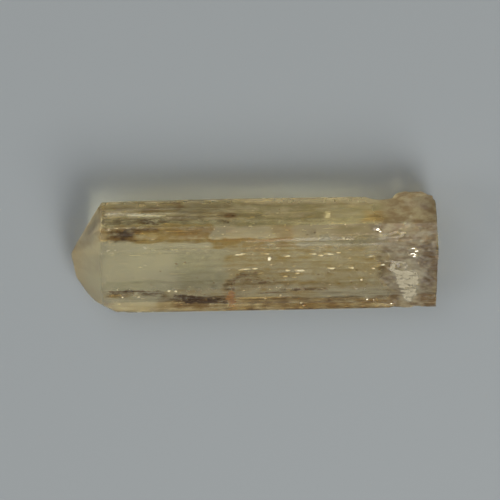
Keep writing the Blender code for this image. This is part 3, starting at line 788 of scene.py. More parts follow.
def plane_reach(origin, direction, normal, distance):
    """How far along a ray from the axis a plane is: (distance - normal . origin) / (normal . direction)."""
    facing = direction @ normal
    reach = (distance - normal[0] * origin) / np.maximum(facing, LEAST_FACING)
    return np.where(facing > LEAST_FACING, reach, NEVER)


def ray_points(origin, direction, reach):
    """Points at a distance along rays from the axis: origin * X + reach * direction."""
    return origin[..., None] * ALONG + reach[..., None] * direction


def ball_hits(origin, direction, x, y, height, *radii):
    """Where rays from the axis enter and leave a stretched ball, and whether they meet it.

    With places divided by the radii, the hits are the roots t of (start + t step)^2 = 1.
    """
    radii = np.array(radii)
    start = (origin[..., None] * ALONG - np.array([x, y, height - AXIS_HEIGHT])) / radii
    step = direction / radii
    a = (step * step).sum(-1)
    b = (start * step).sum(-1)
    inside = b * b - a * ((start * start).sum(-1) - 1.0)
    half = np.sqrt(np.clip(inside, 0.0, None))
    return (-b - half) / a, (-b + half) / a, inside > 0.0


def nick_reach(origin, direction, ball):
    """Where rays from the axis enter a nick, and NEVER where they miss it."""
    entry, _, met = ball_hits(origin, direction, *ball)
    return np.where(met & (entry > 0.0), entry, NEVER)


def knob_reach(origin, direction):
    """The farthest point of the knob's lumps on a ray from the axis, and 0 where it misses them all."""
    reach = np.zeros_like(origin)
    for lump in KNOB_LUMPS:
        _, far, met = ball_hits(origin, direction, *lump)
        reach = np.maximum(reach, np.where(met, far, 0.0))
    return reach


def surface_reach(origin, direction, rounding):
    """How far the surface is along rays from the axis: the soft least of the faces' and nicks' distances.

    The soft least of values r is -s log(sum of exp(-r / s)), s being the rounding. The knob's distance
    replaces it where that is greater. The second result is the gap between the two nearest faces, 0 on an
    edge, and the third is how much of the knob there is.
    """
    reaches = []
    for name in PRISM_FACES | PYRAMID_FACES:
        turn, normal, distance = face_plane(name)
        reach = plane_reach(origin, direction, normal, distance)
        if name in PRISM_FACES:
            hit = np.minimum(reach, FARTHEST)[..., None] * direction
            relief = face_relief(name, origin + hit[..., 0], hit @ face_across(turn))
            reach = plane_reach(origin, direction, normal, distance - relief)
        reaches.append(reach)
    two = np.partition(np.stack(reaches), 1, axis=0)[:2]
    nicks = [(*nick[:3], *(np.array(NICK_STRETCH) * nick[3])) for nick in NICKS]
    stack = np.stack(reaches + [nick_reach(origin, direction, ball) for ball in (*nicks, SCOOP)])
    nearest = stack.min(axis=0)
    soft = nearest - rounding * np.log(np.exp(-(stack - nearest) / rounding).sum(axis=0))
    place = ray_points(origin, direction, soft)
    rough = 1.0 + LUMP_ROUGHNESS * (0.5 * wave(place, 1.3, 41) + 0.3 * wave(place, 0.5, 42))
    knob = knob_reach(origin, direction) * rough
    return np.maximum(soft, knob), two[1] - two[0], smooth_step(knob - soft, *KNOB_BLEND)


def base_height(y, z):
    """X of the cleaved base: the full length, less the deepest layer broken off there and some roughness."""
    depth = np.zeros_like(y)
    for layer, turn, distance in BASE_STEPS:
        beyond = y * math.cos(math.radians(turn)) + z * math.sin(math.radians(turn)) - distance
        depth = np.maximum(depth, layer * smooth_step(beyond, -STEP_BREADTH / 2.0, STEP_BREADTH / 2.0))
    place = np.stack([y, z], axis=-1)
    rough = 0.012 * np.abs(wave(place, 0.9, 51)) + 0.006 * np.abs(wave(place, 0.3, 52))
    return BASE_X - depth - rough


def crystal_grid(rounding):
    """Points of the surface in millimetres, rows by columns by 3, and each one's edge gap and knob share."""
    turns = column_turns()
    around = np.stack([np.zeros_like(turns), np.cos(turns), np.sin(turns)], axis=-1)
    rim = np.full(len(turns), BASE_X)
    for _ in range(2):
        reach = surface_reach(rim, around, rounding)[0]
        rim = base_height(*(reach[:, None] * around)[:, 1:].T)
    fan = math.pi / 2.0 * np.arange(1, TIP_ROWS + 1) / TIP_ROWS
    lean = np.concatenate([fan, np.full(BODY_ROWS, math.pi / 2.0)])[:, None, None]
    share = np.concatenate([np.zeros(TIP_ROWS), np.arange(1, BODY_ROWS + 1) / BODY_ROWS])[:, None]
    origin = FAN_X + share * (rim - FAN_X)
    direction = np.sin(lean) * around - np.cos(lean) * ALONG
    reach, gap, knob = surface_reach(origin, direction, rounding)
    points = ray_points(origin, direction, reach)
    inward = (1.0 - np.arange(1, BASE_RINGS) / BASE_RINGS)[:, None]
    y = inward * points[-1, :, 1]
    z = inward * points[-1, :, 2]
    base = np.stack([base_height(y, z), y, z], axis=-1)
    gap = np.concatenate([gap, np.full(y.shape, 1.0)])
    knob = np.concatenate([knob, np.broadcast_to(knob[-1], y.shape)])
    return np.concatenate([points, base]), gap, knob


def face_height(name, points):
    """How far points stand out of a face's plane: normal . point - distance, negative inside the crystal."""
    _, normal, distance = face_plane(name)
    return points @ normal - distance


def under_face(name, x, across, depth):
    """Points below the surface of a face, from their X, place across the face and depth."""
    x, across = np.atleast_1d(x, across)
    turn, normal, distance = face_plane(name)
    if name in PRISM_FACES:
        depth = depth + face_relief(name, x, across)
    out = face_normal(turn)
    on_plane = ray_points(x, out, plane_reach(x, out, normal, distance))
    return on_plane + np.multiply.outer(across, face_across(turn)) - np.multiply.outer(depth, normal)


def soft_between(value, low, high, softness):
    """1 from low to high and 0 outside, with a smooth step of the softness at both ends."""
    half = softness / 2.0
    return smooth_step(value, low - half, low + half) * (1.0 - smooth_step(value, high - half, high + half))


def stain_share(kind, points):
    """How much of a kind of stain or painted light is on each point: 1 less the product of what all its patches
    leave clear.

    A patch is a soft oblong in X and across its face, on places warped by smooth noise, and it carries on
    round an edge as far as the next face is close to its plane.
    """
    flow = points * np.array([0.4, 1.0, 1.0])
    warp_x = 0.16 * wave(flow, 1.3, 61) + 0.06 * wave(flow, 0.4, 62)
    warp_across = 0.05 * wave(flow, 0.9, 63) + 0.03 * wave(flow, 0.3, 64)
    clear = np.ones(points.shape[:-1])
    full, none = STAIN_NEAR
    for face, start, end, low, high, softness, strength in rows_of(STAINS_AND_PAINTED_LIGHT[kind]):
        near = smooth_step(face_height(face, points), none, full)
        across = points @ face_across(face_plane(face)[0])
        along = soft_between(points[..., 0] + warp_x, start, end, min(3.0 * softness, 0.9 * (end - start)))
        aside = soft_between(across + warp_across, low, high, softness)
        clear = clear * (1.0 - strength * near * along * aside)
    return 1.0 - clear


def frost_share(points, knob):
    """How frosted each point is: even on the pointed end, rising towards the base, full on the broken base.

    A point below all the prism faces' planes is on the pointed end or on the base.
    """
    below = -np.max([face_height(name, points) for name in PRISM_FACES], axis=0)
    x = points[..., 0]
    pointed = 0.95 * smooth_step(below, 0.05, 0.14) * (x < -9.0)
    cloudy = 0.75 * smooth_step(x + 0.5 * wave(points * np.array([0.5, 1.0, 1.0]), 1.6, 65), 8.6, 10.8)
    broken = smooth_step(below, 0.14, 0.30) * (x > 12.0)
    return np.clip(np.max([pointed, cloudy, 0.7 * knob, broken], axis=0), 0.0, 1.0)


def cloud_flakes(clouds, seed):
    """Places, sizes and faces of the flakes in clouds, thinning out from the middle of stretched balls.

    A flake is left out where it is nearer to any face than half its cloud's least depth, less MOST_PROUD.
    """
    draw = np.random.default_rng(seed)
    places, sizes, faces, least_depths = [], [], [], []
    for face, x, across, half_x, half_across, shallow, deep, count, length in rows_of(clouds):
        ball = draw.normal(size=(count, 3))
        ball *= (draw.uniform(0.0, 1.3, (count, 1)) ** 0.7) / np.linalg.norm(ball, axis=1, keepdims=True)
        depth = (shallow + deep) / 2.0 + (deep - shallow) / 2.0 * ball[:, 2]
        places.append(under_face(face, x + half_x * ball[:, 0], across + half_across * ball[:, 1], depth))
        sizes.append(length * draw.uniform(*CLOUD_SIZES, (count, 1)) * np.array(CLOUD_FLAKE))
        faces += [face] * count
        least_depths += [0.5 * shallow] * count
    places = np.concatenate(places)
    below = -np.max([face_height(name, places) for name in PRISM_FACES | PYRAMID_FACES], axis=0)
    kept = below > np.array(least_depths) - MOST_PROUD
    return places[kept], np.concatenate(sizes)[kept], list(np.array(faces)[kept])


def bruise_grid(table, seed):
    """Flattened balls, half sunk in the skin: latitudes, then columns, and last the two ends of each ball.

    A point of the unit ball is moved in or out by smooth noise, then stretched to the bruise's sizes.
    """
    lean = math.pi * np.arange(1, BRUISE_ROWS + 1) / (BRUISE_ROWS + 1)
    turn = 2.0 * math.pi * np.arange(BRUISE_COLUMNS) / BRUISE_COLUMNS
    side = np.sin(lean)[:, None]
    ball = np.stack([side * np.cos(turn), side * np.sin(turn), np.cos(lean)[:, None] + 0.0 * turn], axis=-1)
    ball = np.concatenate([ball.reshape(-1, 3), TWO_ENDS])
    quads, triangles = closed_faces(BRUISE_ROWS, BRUISE_COLUMNS)
    points, all_quads, all_triangles = [], [], []
    for index, (face, x, across, *size) in enumerate(rows_of(table)):
        uneven = wave(ball, 1.3, seed + index) + 0.5 * wave(ball, 0.5, seed + index + 100)
        shape = ball * (1.0 + BRUISE_RAGGED * uneven)[:, None] * np.array(size)
        points.append(under_face(face, x, across, 0.0) + shape @ flake_axes(face, ()))
        all_quads.append(quads + index * len(ball))
        all_triangles.append(triangles + index * len(ball))
    return np.concatenate(points), np.concatenate(all_quads), np.concatenate(all_triangles)


def single_flakes(table, depth, stretch=(1.0, 1.0, 1.0)):
    """Places, sizes and faces of flakes given one by one."""
    places, sizes, faces = [], [], []
    for face, x, across, half_length, half_breadth in rows_of(table):
        places.append(under_face(face, x, across, depth))
        sizes.append([half_length, half_breadth, FLAKE_THICKNESS * half_breadth])
        faces.append(face)
    return np.concatenate(places), np.array(sizes) * np.array(stretch), faces


def flake_axes(name, mirrors):
    """Axes of a flake: along, across and out of its face.

    With mirrors, the way out is midway between the first of these directions and another of them, the one
    that leaves the flake nearest to flat on its face.
    """
    normal = face_plane(name)[1]
    middles = [(mirrors[0] + light) / np.linalg.norm(mirrors[0] + light) for light in mirrors[1:]]
    out = max(middles, key=normal.dot, default=normal)
    across = np.cross(out, ALONG)
    across /= np.linalg.norm(across)
    return np.stack([np.cross(across, out), across, out])


def flake_grid(places, sizes, faces, lean, seed, mirrors=()):
    """Closed flakes: a ragged ring of points, one point above its middle and one below, leaned at random.

    Mirroring flakes are lifted until the whole flake is clear of its face.
    """
    draw = np.random.default_rng(seed)
    count = len(places)
    axes = {name: flake_axes(name, mirrors) for name in set(faces)}
    frame_axes = np.stack([axes[name] for name in faces]) + lean * draw.normal(size=(count, 3, 3))
    first = np.arange(FLAKE_SIDES)
    angle = 2.0 * math.pi / FLAKE_SIDES * first + draw.uniform(*RING_TURNED, (count, FLAKE_SIDES))
    ragged = draw.uniform(*RING_RAGGED, (count, FLAKE_SIDES))
    ring = np.stack([ragged * np.cos(angle), ragged * np.sin(angle), np.zeros_like(angle)], axis=-1)
    ends = np.broadcast_to(TWO_ENDS, (count, 2, 3))
    shape = np.concatenate([ring, ends], axis=1) * sizes[:, None, :]
    if mirrors:
        normals = np.stack([face_plane(name)[1] for name in faces])
        rise = (np.abs(np.einsum("nij,nj->ni", frame_axes, normals)) * sizes)[:, :2].sum(axis=1)
        places = places + rise[:, None] * normals
    points = places[:, None, :] + np.einsum("nij,njk->nik", shape, frame_axes)
    second = (first + 1) % FLAKE_SIDES
    upper = np.stack([first, second, np.full(FLAKE_SIDES, FLAKE_SIDES)], axis=-1)
    lower = np.stack([second, first, np.full(FLAKE_SIDES, FLAKE_SIDES + 1)], axis=-1)
    one = np.concatenate([upper, lower])
    right_handed = np.linalg.det(frame_axes)[:, None, None] > 0.0
    offsets = (FLAKE_SIDES + 2) * np.arange(count)[:, None, None]
    triangles = np.where(right_handed, one, one[:, ::-1]) + offsets
    return points.reshape(-1, 3), NO_QUADS, triangles.reshape(-1, 3)


def strewn_flakes(strewn, seed, thinness=1.0):
    """Places, sizes and faces of flakes strewn below the upper faces, with more small ones than large."""
    count, least, greatest, depths = strewn
    draw = np.random.default_rng(seed)
    share = draw.uniform(0.0, 1.0, (count, 1)) ** 2
    size = np.array(least) + share * (np.array(greatest) - np.array(least))
    names = list(STREWN_ACROSS)
    spans = np.array([STREWN_ACROSS[name] for name in names])
    breadths = spans[:, 1] - spans[:, 0]
    faces = draw.choice(names, size=count, p=breadths / breadths.sum())
    places = []
    for name, half_length in zip(faces, size[:, 0]):
        x = draw.uniform(STREWN_X[0] + half_length, STREWN_X[1] - half_length)
        across = draw.uniform(*STREWN_ACROSS[name])
        places.append(under_face(name, x, across, draw.uniform(*depths)))
    return np.concatenate(places), np.column_stack([size, thinness * size[:, 1]]), list(faces)


def closed_faces(rows, columns):
    """Quads between neighbouring rows, and triangles that close each end on a point, facing outwards."""
    row, column = np.meshgrid(np.arange(rows - 1), np.arange(columns), indexing="ij")
    here = row * columns + column
    beside = row * columns + (column + 1) % columns
    quads = np.stack([here, beside, beside + columns, here + columns], axis=-1)
    first = np.arange(columns)
    second = (first + 1) % columns
    last = (rows - 1) * columns
    start = np.stack([np.full(columns, rows * columns), second, first], axis=-1)
    end = np.stack([np.full(columns, rows * columns + 1), last + first, last + second], axis=-1)
    return quads.reshape(-1, 4), np.concatenate([start, end])


def new_mesh(name, points, quads, triangles):
    """A mesh from arrays of points in metres, four-sided faces and three-sided faces."""
    mesh = bpy.data.meshes.new(name)
    mesh.vertices.add(len(points))
    mesh.vertices.foreach_set("co", points.astype(np.float32).ravel())
    corners = np.concatenate([quads.ravel(), triangles.ravel()])
    sides = np.concatenate([np.full(len(quads), 4), np.full(len(triangles), 3)])
    mesh.loops.add(len(corners))
    mesh.loops.foreach_set("vertex_index", corners.astype(np.int32))
    mesh.polygons.add(len(sides))
    mesh.polygons.foreach_set("loop_start", (np.cumsum(sides) - sides).astype(np.int32))
    mesh.update(calc_edges=True)
    mesh.validate()
    return mesh


def add_number(mesh, name, values):
    """A number for each point of a mesh, which a material can read."""
    attribute = mesh.attributes.new(name, "FLOAT", "POINT")
    attribute.data.foreach_set("value", values.astype(np.float32).ravel())


def add_object(name, data):
    """A new object in the scene."""
    new = bpy.data.objects.new(name, data)
    bpy.context.scene.collection.objects.link(new)
    return new


def new_piece(mesh, material):
    mesh.materials.append(material)
    return add_object(mesh.name, mesh)


def into_frame(points):
    """From millimetres about the length axis to metres in the frame."""
    return (points + np.array(AXIS_PLACE)) * MM


def make_inner(name, material, points, quads, triangles):
    """A piece inside the crystal or in its skin, which goes where the crystal goes."""
    piece = new_piece(new_mesh(name, into_frame(points), quads, triangles), material)
    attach(piece, BODY)
    return piece


def make_flakes(name, material, flakes, lean, seed, mirrors=()):
    """One piece of many closed flakes, from their places, sizes and faces."""
    make_inner(name, material, *flake_grid(*flakes, lean, seed, mirrors)).data.shade_flat()


class Bench:
    """A new material, and short ways to add and join its nodes."""

    def __init__(self, name):
        self.material = bpy.data.materials.new(name)
        self.material.use_nodes = True
        self.nodes = self.material.node_tree.nodes
        self.links = self.material.node_tree.links
        self.surface = self.nodes["Principled BSDF"].inputs

    def feed(self, value, socket):
        """Joins an output to a socket, or gives the socket a plain number or a colour."""
        if isinstance(value, bpy.types.NodeSocket):
            self.links.new(value, socket)
        elif isinstance(value, float):
            socket.default_value = value
        else:
            socket.default_value = (*value, 1.0)

    def finish(self, values):
        """Feeds the surface's sockets by name and hands over the material."""
        for name, value in values.items():
            self.feed(value, self.surface[name])
        return self.material

    def number(self, name):
        """A number that the mesh keeps for each point."""
        node = self.nodes.new("ShaderNodeAttribute")
        node.attribute_name = name
        return node.outputs["Fac"]

    def noise(self, per_metre, detail=2.0, roughness=0.5):
        """Noise in Object coordinates, with how many of its cells there are to the metre on each axis."""
        place = self.nodes.new("ShaderNodeTexCoord")
        stretch = self.nodes.new("ShaderNodeMapping")
        stretch.inputs["Scale"].default_value = per_metre
        node = self.nodes.new("ShaderNodeTexNoise")
        node.inputs["Scale"].default_value = 1.0
        node.inputs["Detail"].default_value = detail
        node.inputs["Roughness"].default_value = roughness
        self.links.new(place.outputs["Object"], stretch.inputs["Vector"])
        self.links.new(stretch.outputs["Vector"], node.inputs["Vector"])
        return node.outputs["Fac"]

    def work(self, operation, *values, clamp=False):
        node = self.nodes.new("ShaderNodeMath")
        node.operation = operation
        node.use_clamp = clamp
        for socket, value in zip(node.inputs, values):
            self.feed(value, socket)
        return node.outputs["Value"]

    def stain(self, below, colour, share):
        """A colour over another by a share from 0 to 1."""
        node = self.nodes.new("ShaderNodeMix")
        node.data_type = "RGBA"
        self.feed(share, node.inputs["Factor"])
        self.feed(below, node.inputs["A"])
        self.feed(colour, node.inputs["B"])
        return node.outputs["Result"]

    def bump(self, height, distance):
        node = self.nodes.new("ShaderNodeBump")
        node.inputs["Distance"].default_value = distance
        self.feed(height, node.inputs["Height"])
        self.feed(node.outputs["Normal"], self.surface["Normal"])


def make_glass(settings):
    """Champagne topaz: transmission, IOR and absorption, with stains, painted light and finish from noise and
    numbers
    """
    bench = Bench("champagne topaz")
    streaks = bench.noise((300.0, 3600.0, 3600.0), 3.0, 0.6)
    mottle = bench.noise((1200.0, 1900.0, 1900.0), 3.0, 0.6)
    fine = bench.noise((380.0, 5600.0, 5600.0), 3.0, 0.65)
    grain = bench.noise((5200.0, 5200.0, 5200.0), 3.0, 0.7)
    lines = bench.work("MULTIPLY_ADD", streaks, 4.0, -1.90, clamp=True)
    stained = bench.work("MULTIPLY_ADD", streaks, 2.2, bench.work("MULTIPLY_ADD", mottle, 3.2, -1.7))
    blotches = bench.work("MULTIPLY_ADD", mottle, 3.6, -0.9)
    even = bench.work("MULTIPLY_ADD", mottle, 0.8, 0.6)
    textures = {"lines": lines, "smoke": even, "dust": even, "cream": even, "mauve": blotches}
    colour = settings.clear_tint
    for kind in STAINS_AND_PAINTED_LIGHT:
        share = bench.work("MULTIPLY", bench.number(kind), textures.get(kind, stained), clamp=True)
        colour = bench.stain(colour, getattr(settings, kind), share)
    wear = bench.number("wear")
    frost = bench.number("frost")
    colour = bench.stain(colour, settings.cream, bench.work("MULTIPLY", wear, 0.25))
    rough = bench.work("MULTIPLY_ADD", frost, 0.45, settings.polish)
    rough = bench.work("MULTIPLY_ADD", wear, 0.15, rough)
    rough = bench.work("MULTIPLY_ADD", mottle, 0.10, rough)
    smooth = bench.work("MULTIPLY", fine, bench.work("SUBTRACT", 1.0, frost))
    height = bench.work("MULTIPLY_ADD", bench.work("MULTIPLY", grain, frost), 1.5, smooth)
    bench.bump(height, settings.line_depth)
    body = bench.nodes.new("ShaderNodeVolumeAbsorption")
    bench.feed(settings.body_colour, body.inputs["Color"])
    bench.feed(settings.body_density, body.inputs["Density"])
    bench.feed(body.outputs["Volume"], bench.nodes["Material Output"].inputs["Volume"])
    glass = {"IOR": settings.ior, "Transmission Weight": settings.clearness}
    return bench.finish({"Base Color": colour, "Roughness": rough, **glass})


def make_mineral(name, colour, second):
    """An opaque, dull mineral of two mingled colours."""
    bench = Bench(name)
    grain = bench.noise((2600.0, 5200.0, 5200.0), 3.0, 0.6)
    mingled = bench.stain(colour, second, bench.work("MULTIPLY_ADD", grain, 2.6, -0.8, clamp=True))
    rough = bench.work("MULTIPLY_ADD", grain, 0.3, 0.5)
    bench.bump(grain, 0.004 * MM)
    return bench.finish({"Base Color": mingled, "Roughness": rough, "Specular IOR Level": 0.2})


def make_glint(settings):
    """The bright, mirror-like skin of a cleavage crack seen from inside."""
    bench = Bench("cleavage glint")
    grain = bench.noise((3000.0, 3000.0, 3000.0), 2.0, 0.5)
    colour = bench.stain(settings.glint, settings.glint_second, bench.work("MULTIPLY", grain, 0.6))
    rough = bench.work("MULTIPLY_ADD", grain, 0.3, 0.18)
    return bench.finish({"Base Color": colour, "Roughness": rough, "Metallic": 1.0})


def number_setting(name, description, default, **more):
    return bpy.props.FloatProperty(name=name, description=description, default=default, **more)


def factor_setting(name, description, default):
    return number_setting(name, description, default, min=0.0, max=1.0, subtype="FACTOR")


def colour_setting(name, description, default):
    shape = {"size": 3, "min": 0.0, "max": 1.0, "subtype": "COLOR"}
    return bpy.props.FloatVectorProperty(name=name, description=description, default=default, **shape)


class TopazCrystalSettings(bpy.types.PropertyGroup):
    edge_rounding: number_setting(
        "Edge rounding", "How softly the faces meet", 0.012 * MM, min=0.001 * MM, precision=6, unit="LENGTH"
    )
    line_depth: number_setting(
        "Finest lines' depth", "Striations too fine for the mesh", 0.010 * MM, precision=6, unit="LENGTH"
    )
    ior: number_setting("Refractive index", "Topaz bends light by 1.61 to 1.63", REFRACTIVE_INDEX)
    clearness: factor_setting("Clearness", "How much light passes, the rest is scattered by haze", 0.83)
    polish: factor_setting("Roughness of the clear faces", "0 is a mirror polish", 0.08)
    body_colour: colour_setting("Body colour", "What light keeps on its way through", (0.96, 0.80, 0.06))
    body_density: number_setting("Body density", "How fast light takes the body colour, by the metre", 60.0)
    clear_tint: colour_setting("Clear faces", "Tint of the faces where there is no stain", (1.0, 0.97, 0.78))
    lines: colour_setting("Fine lines", "Tint of the striations", (0.48, 0.37, 0.19))
    # Smoke is a dark film, and on the pointed end's upper face it is painted shade
    smoke: colour_setting("Smoke", "Dark greyish film", (0.36, 0.34, 0.27))
    # On the pointed end the dust's shares also paint light and shade, face by face
    dust: colour_setting("Dust", "Greyish film on the pointed end and beside the base", (0.84, 0.81, 0.71))
    olive: colour_setting("Olive stain", "Thin greenish film", (0.46, 0.44, 0.26))
    golden: colour_setting("Golden stain", "Iron film in the growth layers", (0.62, 0.42, 0.14))
    # Mauve also darkens the pointed end's upper faces: painted shade
    mauve: colour_setting("Mauve stain", "Clay film near the broken base", (0.41, 0.29, 0.18))
    # Brown also paints the dark ring round the glint in the flat top's pit: painted shade
    brown: colour_setting("Brown stain", "Dark iron film in the cracks", (0.17, 0.088, 0.022))
    orange: colour_setting("Orange stain", "Bright iron film", (0.66, 0.34, 0.09))
    # Cream also paints highlights: the rim's light line, the upper flank's streaks and the spots under the pale
    # flecks
    cream: colour_setting("Cream stain", "Pale bruises and dust", (0.95, 0.88, 0.70))


class TopazFlakeSettings(bpy.types.PropertyGroup):
    dark: colour_setting("Dark flakes", "Darker colour of the dark clouds", (0.075, 0.044, 0.014))
    dark_second: colour_setting("Dark, mingled", "Paler colour of the dark clouds", (0.20, 0.125, 0.034))
    rust: colour_setting("Rust", "Darker colour of the iron along the crack", (0.09, 0.050, 0.020))
    rust_second: colour_setting("Rust, mingled", "Paler colour of the crack's iron", (0.24, 0.145, 0.06))
    grey: colour_setting("Grey flakes", "Darker colour of the veil in the pointed end", (0.60, 0.55, 0.42))
    grey_second: colour_setting("Grey, mingled", "Paler colour of the grey veil", (0.72, 0.68, 0.54))
    orange: colour_setting("Orange flakes", "Darker colour of the orange patch", (0.58, 0.33, 0.08))
    orange_second: colour_setting("Orange, mingled", "Paler colour of the orange patch", (0.76, 0.50, 0.17))
    cream: colour_setting("Cream flakes", "Darker colour of the cream cloud", (0.43, 0.38, 0.26))
    cream_second: colour_setting("Cream, mingled", "Paler colour of the cream cloud", (0.56, 0.51, 0.37))
    glint: colour_setting("Glints", "Colour of the bright cleavage glints", (0.84, 0.81, 0.73))
    glint_second: colour_setting("Glints, mingled", "Warmer colour of the glints", (0.80, 0.68, 0.46))
    # The single pale flecks and the bright veils paint highlights; the strewn flecks and the growth tubes share
    # this mineral
    pale: colour_setting("Pale flecks", "Darker colour of the flecks", (0.80, 0.70, 0.42))
    pale_second: colour_setting("Pale flecks, mingled", "Paler colour of the flecks", (0.93, 0.87, 0.64))


class TopazStageSettings(bpy.types.PropertyGroup):
    floor_colour: colour_setting("Floor", "Colour of the plain floor", (0.372, 0.408, 0.434))
    room_light: number_setting("Room light", "Strength of the even light from all around", 0.27)
    key_power: number_setting("Key light", "The soft light from the -Y side", 0.70, unit="POWER")
    fill_power: number_setting("Fill light", "The soft light from the knob's side", 0.30, unit="POWER")
    tip_power: number_setting("Tip light", "The soft light from the pointed end's side", 0.22, unit="POWER")
    camera_tilt: number_setting(
        "Camera's tilt", "Off the vertical, towards the knob's side", math.radians(22.0), subtype="ANGLE"
    )
    camera_roll: number_setting(
        "Camera's roll", "How much the crystal rises to the right", math.radians(1.05), subtype="ANGLE"
    )
    camera_distance: number_setting("Camera's distance", "From the crystal's axis", 0.3, subtype="DISTANCE")


class TOPAZ_OT_crystal(bpy.types.Operator):
    """Makes the clear crystal, which stands for the solid of that name"""

    bl_idname = "topaz.crystal"
    bl_label = "Crystal"

    def execute(self, context):
        settings = context.scene.topaz_crystal
        rounding = settings.edge_rounding / MM
        points, gap, knob = crystal_grid(rounding)
        rows, columns = points.shape[:2]
        end = np.zeros(1)
        tip = surface_reach(end + FAN_X, -ALONG[None], rounding)[0]
        ends = np.multiply.outer(np.concatenate([FAN_X - tip, base_height(end, end)]), ALONG)
        skin = points.reshape(-1, 3)
        every = np.concatenate([skin, ends])
        mesh = new_mesh("topaz_crystal", into_frame(every), *closed_faces(rows, columns))
        for kind in STAINS_AND_PAINTED_LIGHT:
            add_number(mesh, kind, stain_share(kind, every))
        worn = (1.0 - smooth_step(gap.ravel(), *WORN_GAP)) * (0.6 + 0.4 * wave(skin, 0.8, 71))
        add_number(mesh, "wear", np.append(np.clip(worn, 0.0, 1.0), [0.0, 0.0]))
        add_number(mesh, "frost", frost_share(every, np.append(knob.ravel(), [0.0, 0.0])))
        mesh.shade_smooth()
        mesh.set_sharp_from_angle(angle=math.radians(SHARP_ANGLE))
        piece = new_piece(mesh, make_glass(settings))
        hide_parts(NODE)
        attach(piece, BODY)
        return {"FINISHED"}


def mineral_of(context, mineral, name):
    """A mineral in its two colours, under the name of the first piece made of it."""
    settings = context.scene.topaz_flakes
    return make_mineral(name, getattr(settings, mineral), getattr(settings, mineral + "_second"))


def make_cloud(context, mineral, name, seed):
    """The clouds of one mineral, as one piece. Hands over the mineral."""
    material = mineral_of(context, mineral, name)
    make_flakes(name, material, cloud_flakes(CLOUDS[mineral], seed), CLOUD_LEAN, seed + 1)
    return material


class TOPAZ_OT_dark_clouds(bpy.types.Operator):
    """Makes the dark smudge and streak, and the single dark specks"""

    bl_idname = "topaz.dark_clouds"
    bl_label = "Dark clouds and specks"

    def execute(self, context):
        material = make_cloud(context, "dark", "dark_clouds", 201)
        make_flakes("dark_specks", material, single_flakes(SPECKS, 0.03), 0.10, 203)
        make_flakes("fine_specks", material, strewn_flakes(FINE_SPECKS, 204), 0.20, 205)
        return {"FINISHED"}


class TOPAZ_OT_rust(bpy.types.Operator):
    """Makes the rusty crack and its branches"""

    bl_idname = "topaz.rust"
    bl_label = "Rusty crack"

    def execute(self, context):
        make_cloud(context, "rust", "rusty_crack", 211)
        return {"FINISHED"}


class TOPAZ_OT_grey_veil(bpy.types.Operator):
    """Makes the grey veil inside the pointed end"""

    bl_idname = "topaz.grey_veil"
    bl_label = "Grey veil"

    def execute(self, context):
        make_cloud(context, "grey", "grey_veil", 215)
        return {"FINISHED"}


class TOPAZ_OT_orange_patch(bpy.types.Operator):
    """Makes the orange iron films"""

    bl_idname = "topaz.orange_patch"
    bl_label = "Orange patch"

    def execute(self, context):
        make_cloud(context, "orange", "orange_films", 221)
        return {"FINISHED"}


class TOPAZ_OT_cream_cloud(bpy.types.Operator):
    """Makes the cream cloud and bruises beside the base"""

    bl_idname = "topaz.cream_cloud"
    bl_label = "Cream cloud"

    def execute(self, context):
        material = make_cloud(context, "cream", "cream_clouds", 231)
        make_inner("cream_bruises", material, *bruise_grid(BRUISES, 235))
        return {"FINISHED"}


class TOPAZ_OT_flecks(bpy.types.Operator):
    """Makes the bright veils and pale flecks that paint highlights, the strewn flecks and the growth tubes"""

    bl_idname = "topaz.flecks"
    bl_label = "Pale flecks and tubes"

    def execute(self, context):
        material = mineral_of(context, "pale", "pale_flecks")
        make_inner("bright_veils", material, *bruise_grid(HIGHLIGHT_VEILS, 246))
        make_flakes("pale_flecks", material, single_flakes(HIGHLIGHT_FLECKS, 0.01, FLECK_STRETCH), 0.06, 241)
        make_flakes("fine_flecks", material, strewn_flakes(FINE_FLECKS, 242), 0.08, 243)
        make_flakes("growth_tubes", material, strewn_flakes(TUBES, 244), 0.003, 245)
        return {"FINISHED"}


class TOPAZ_OT_glints(bpy.types.Operator):
    """Makes the bright cleavage glints"""

    bl_idname = "topaz.glints"
    bl_label = "Glints"

    def execute(self, context):
        stage = context.scene.topaz_stage
        material = make_glint(context.scene.topaz_flakes)
        seen_from = towards(90.0, 90.0 - math.degrees(stage.camera_tilt))
        mirrors = [np.array(way) for way in (seen_from, light_from("key"), light_from("fill"))]
        make_flakes("glints", material, single_flakes(GLINTS, 0.005, GLINT_STRETCH), 0.02, 251, mirrors)
        make_flakes("fine_glints", material, strewn_flakes(FINE_GLINTS, 252, 0.1), GLINT_LEAN, 253)
        return {"FINISHED"}


def make_floor(settings):
    material = Bench("pale floor").finish({"Base Color": settings.floor_colour, "Roughness": 0.8})
    corners = FLOOR_SIDE / 2.0 * np.array([(-1.0, -1.0), (1.0, -1.0), (1.0, 1.0), (-1.0, 1.0)])
    points = np.column_stack([corners, np.full(4, -0.01 * MM)])
    mesh = new_mesh("floor", points, np.array([[0, 1, 2, 3]]), np.zeros((0, 3), int))
    new_piece(mesh, material)


def towards(azimuth, elevation):
    """The direction at an azimuth from +X towards +Y and an elevation, both in degrees."""
    a, e = math.radians(azimuth), math.radians(elevation)
    return Vector((math.cos(e) * math.cos(a), math.cos(e) * math.sin(a), math.sin(e)))


def light_from(name):
    return towards(*LIGHTS[name][:2])


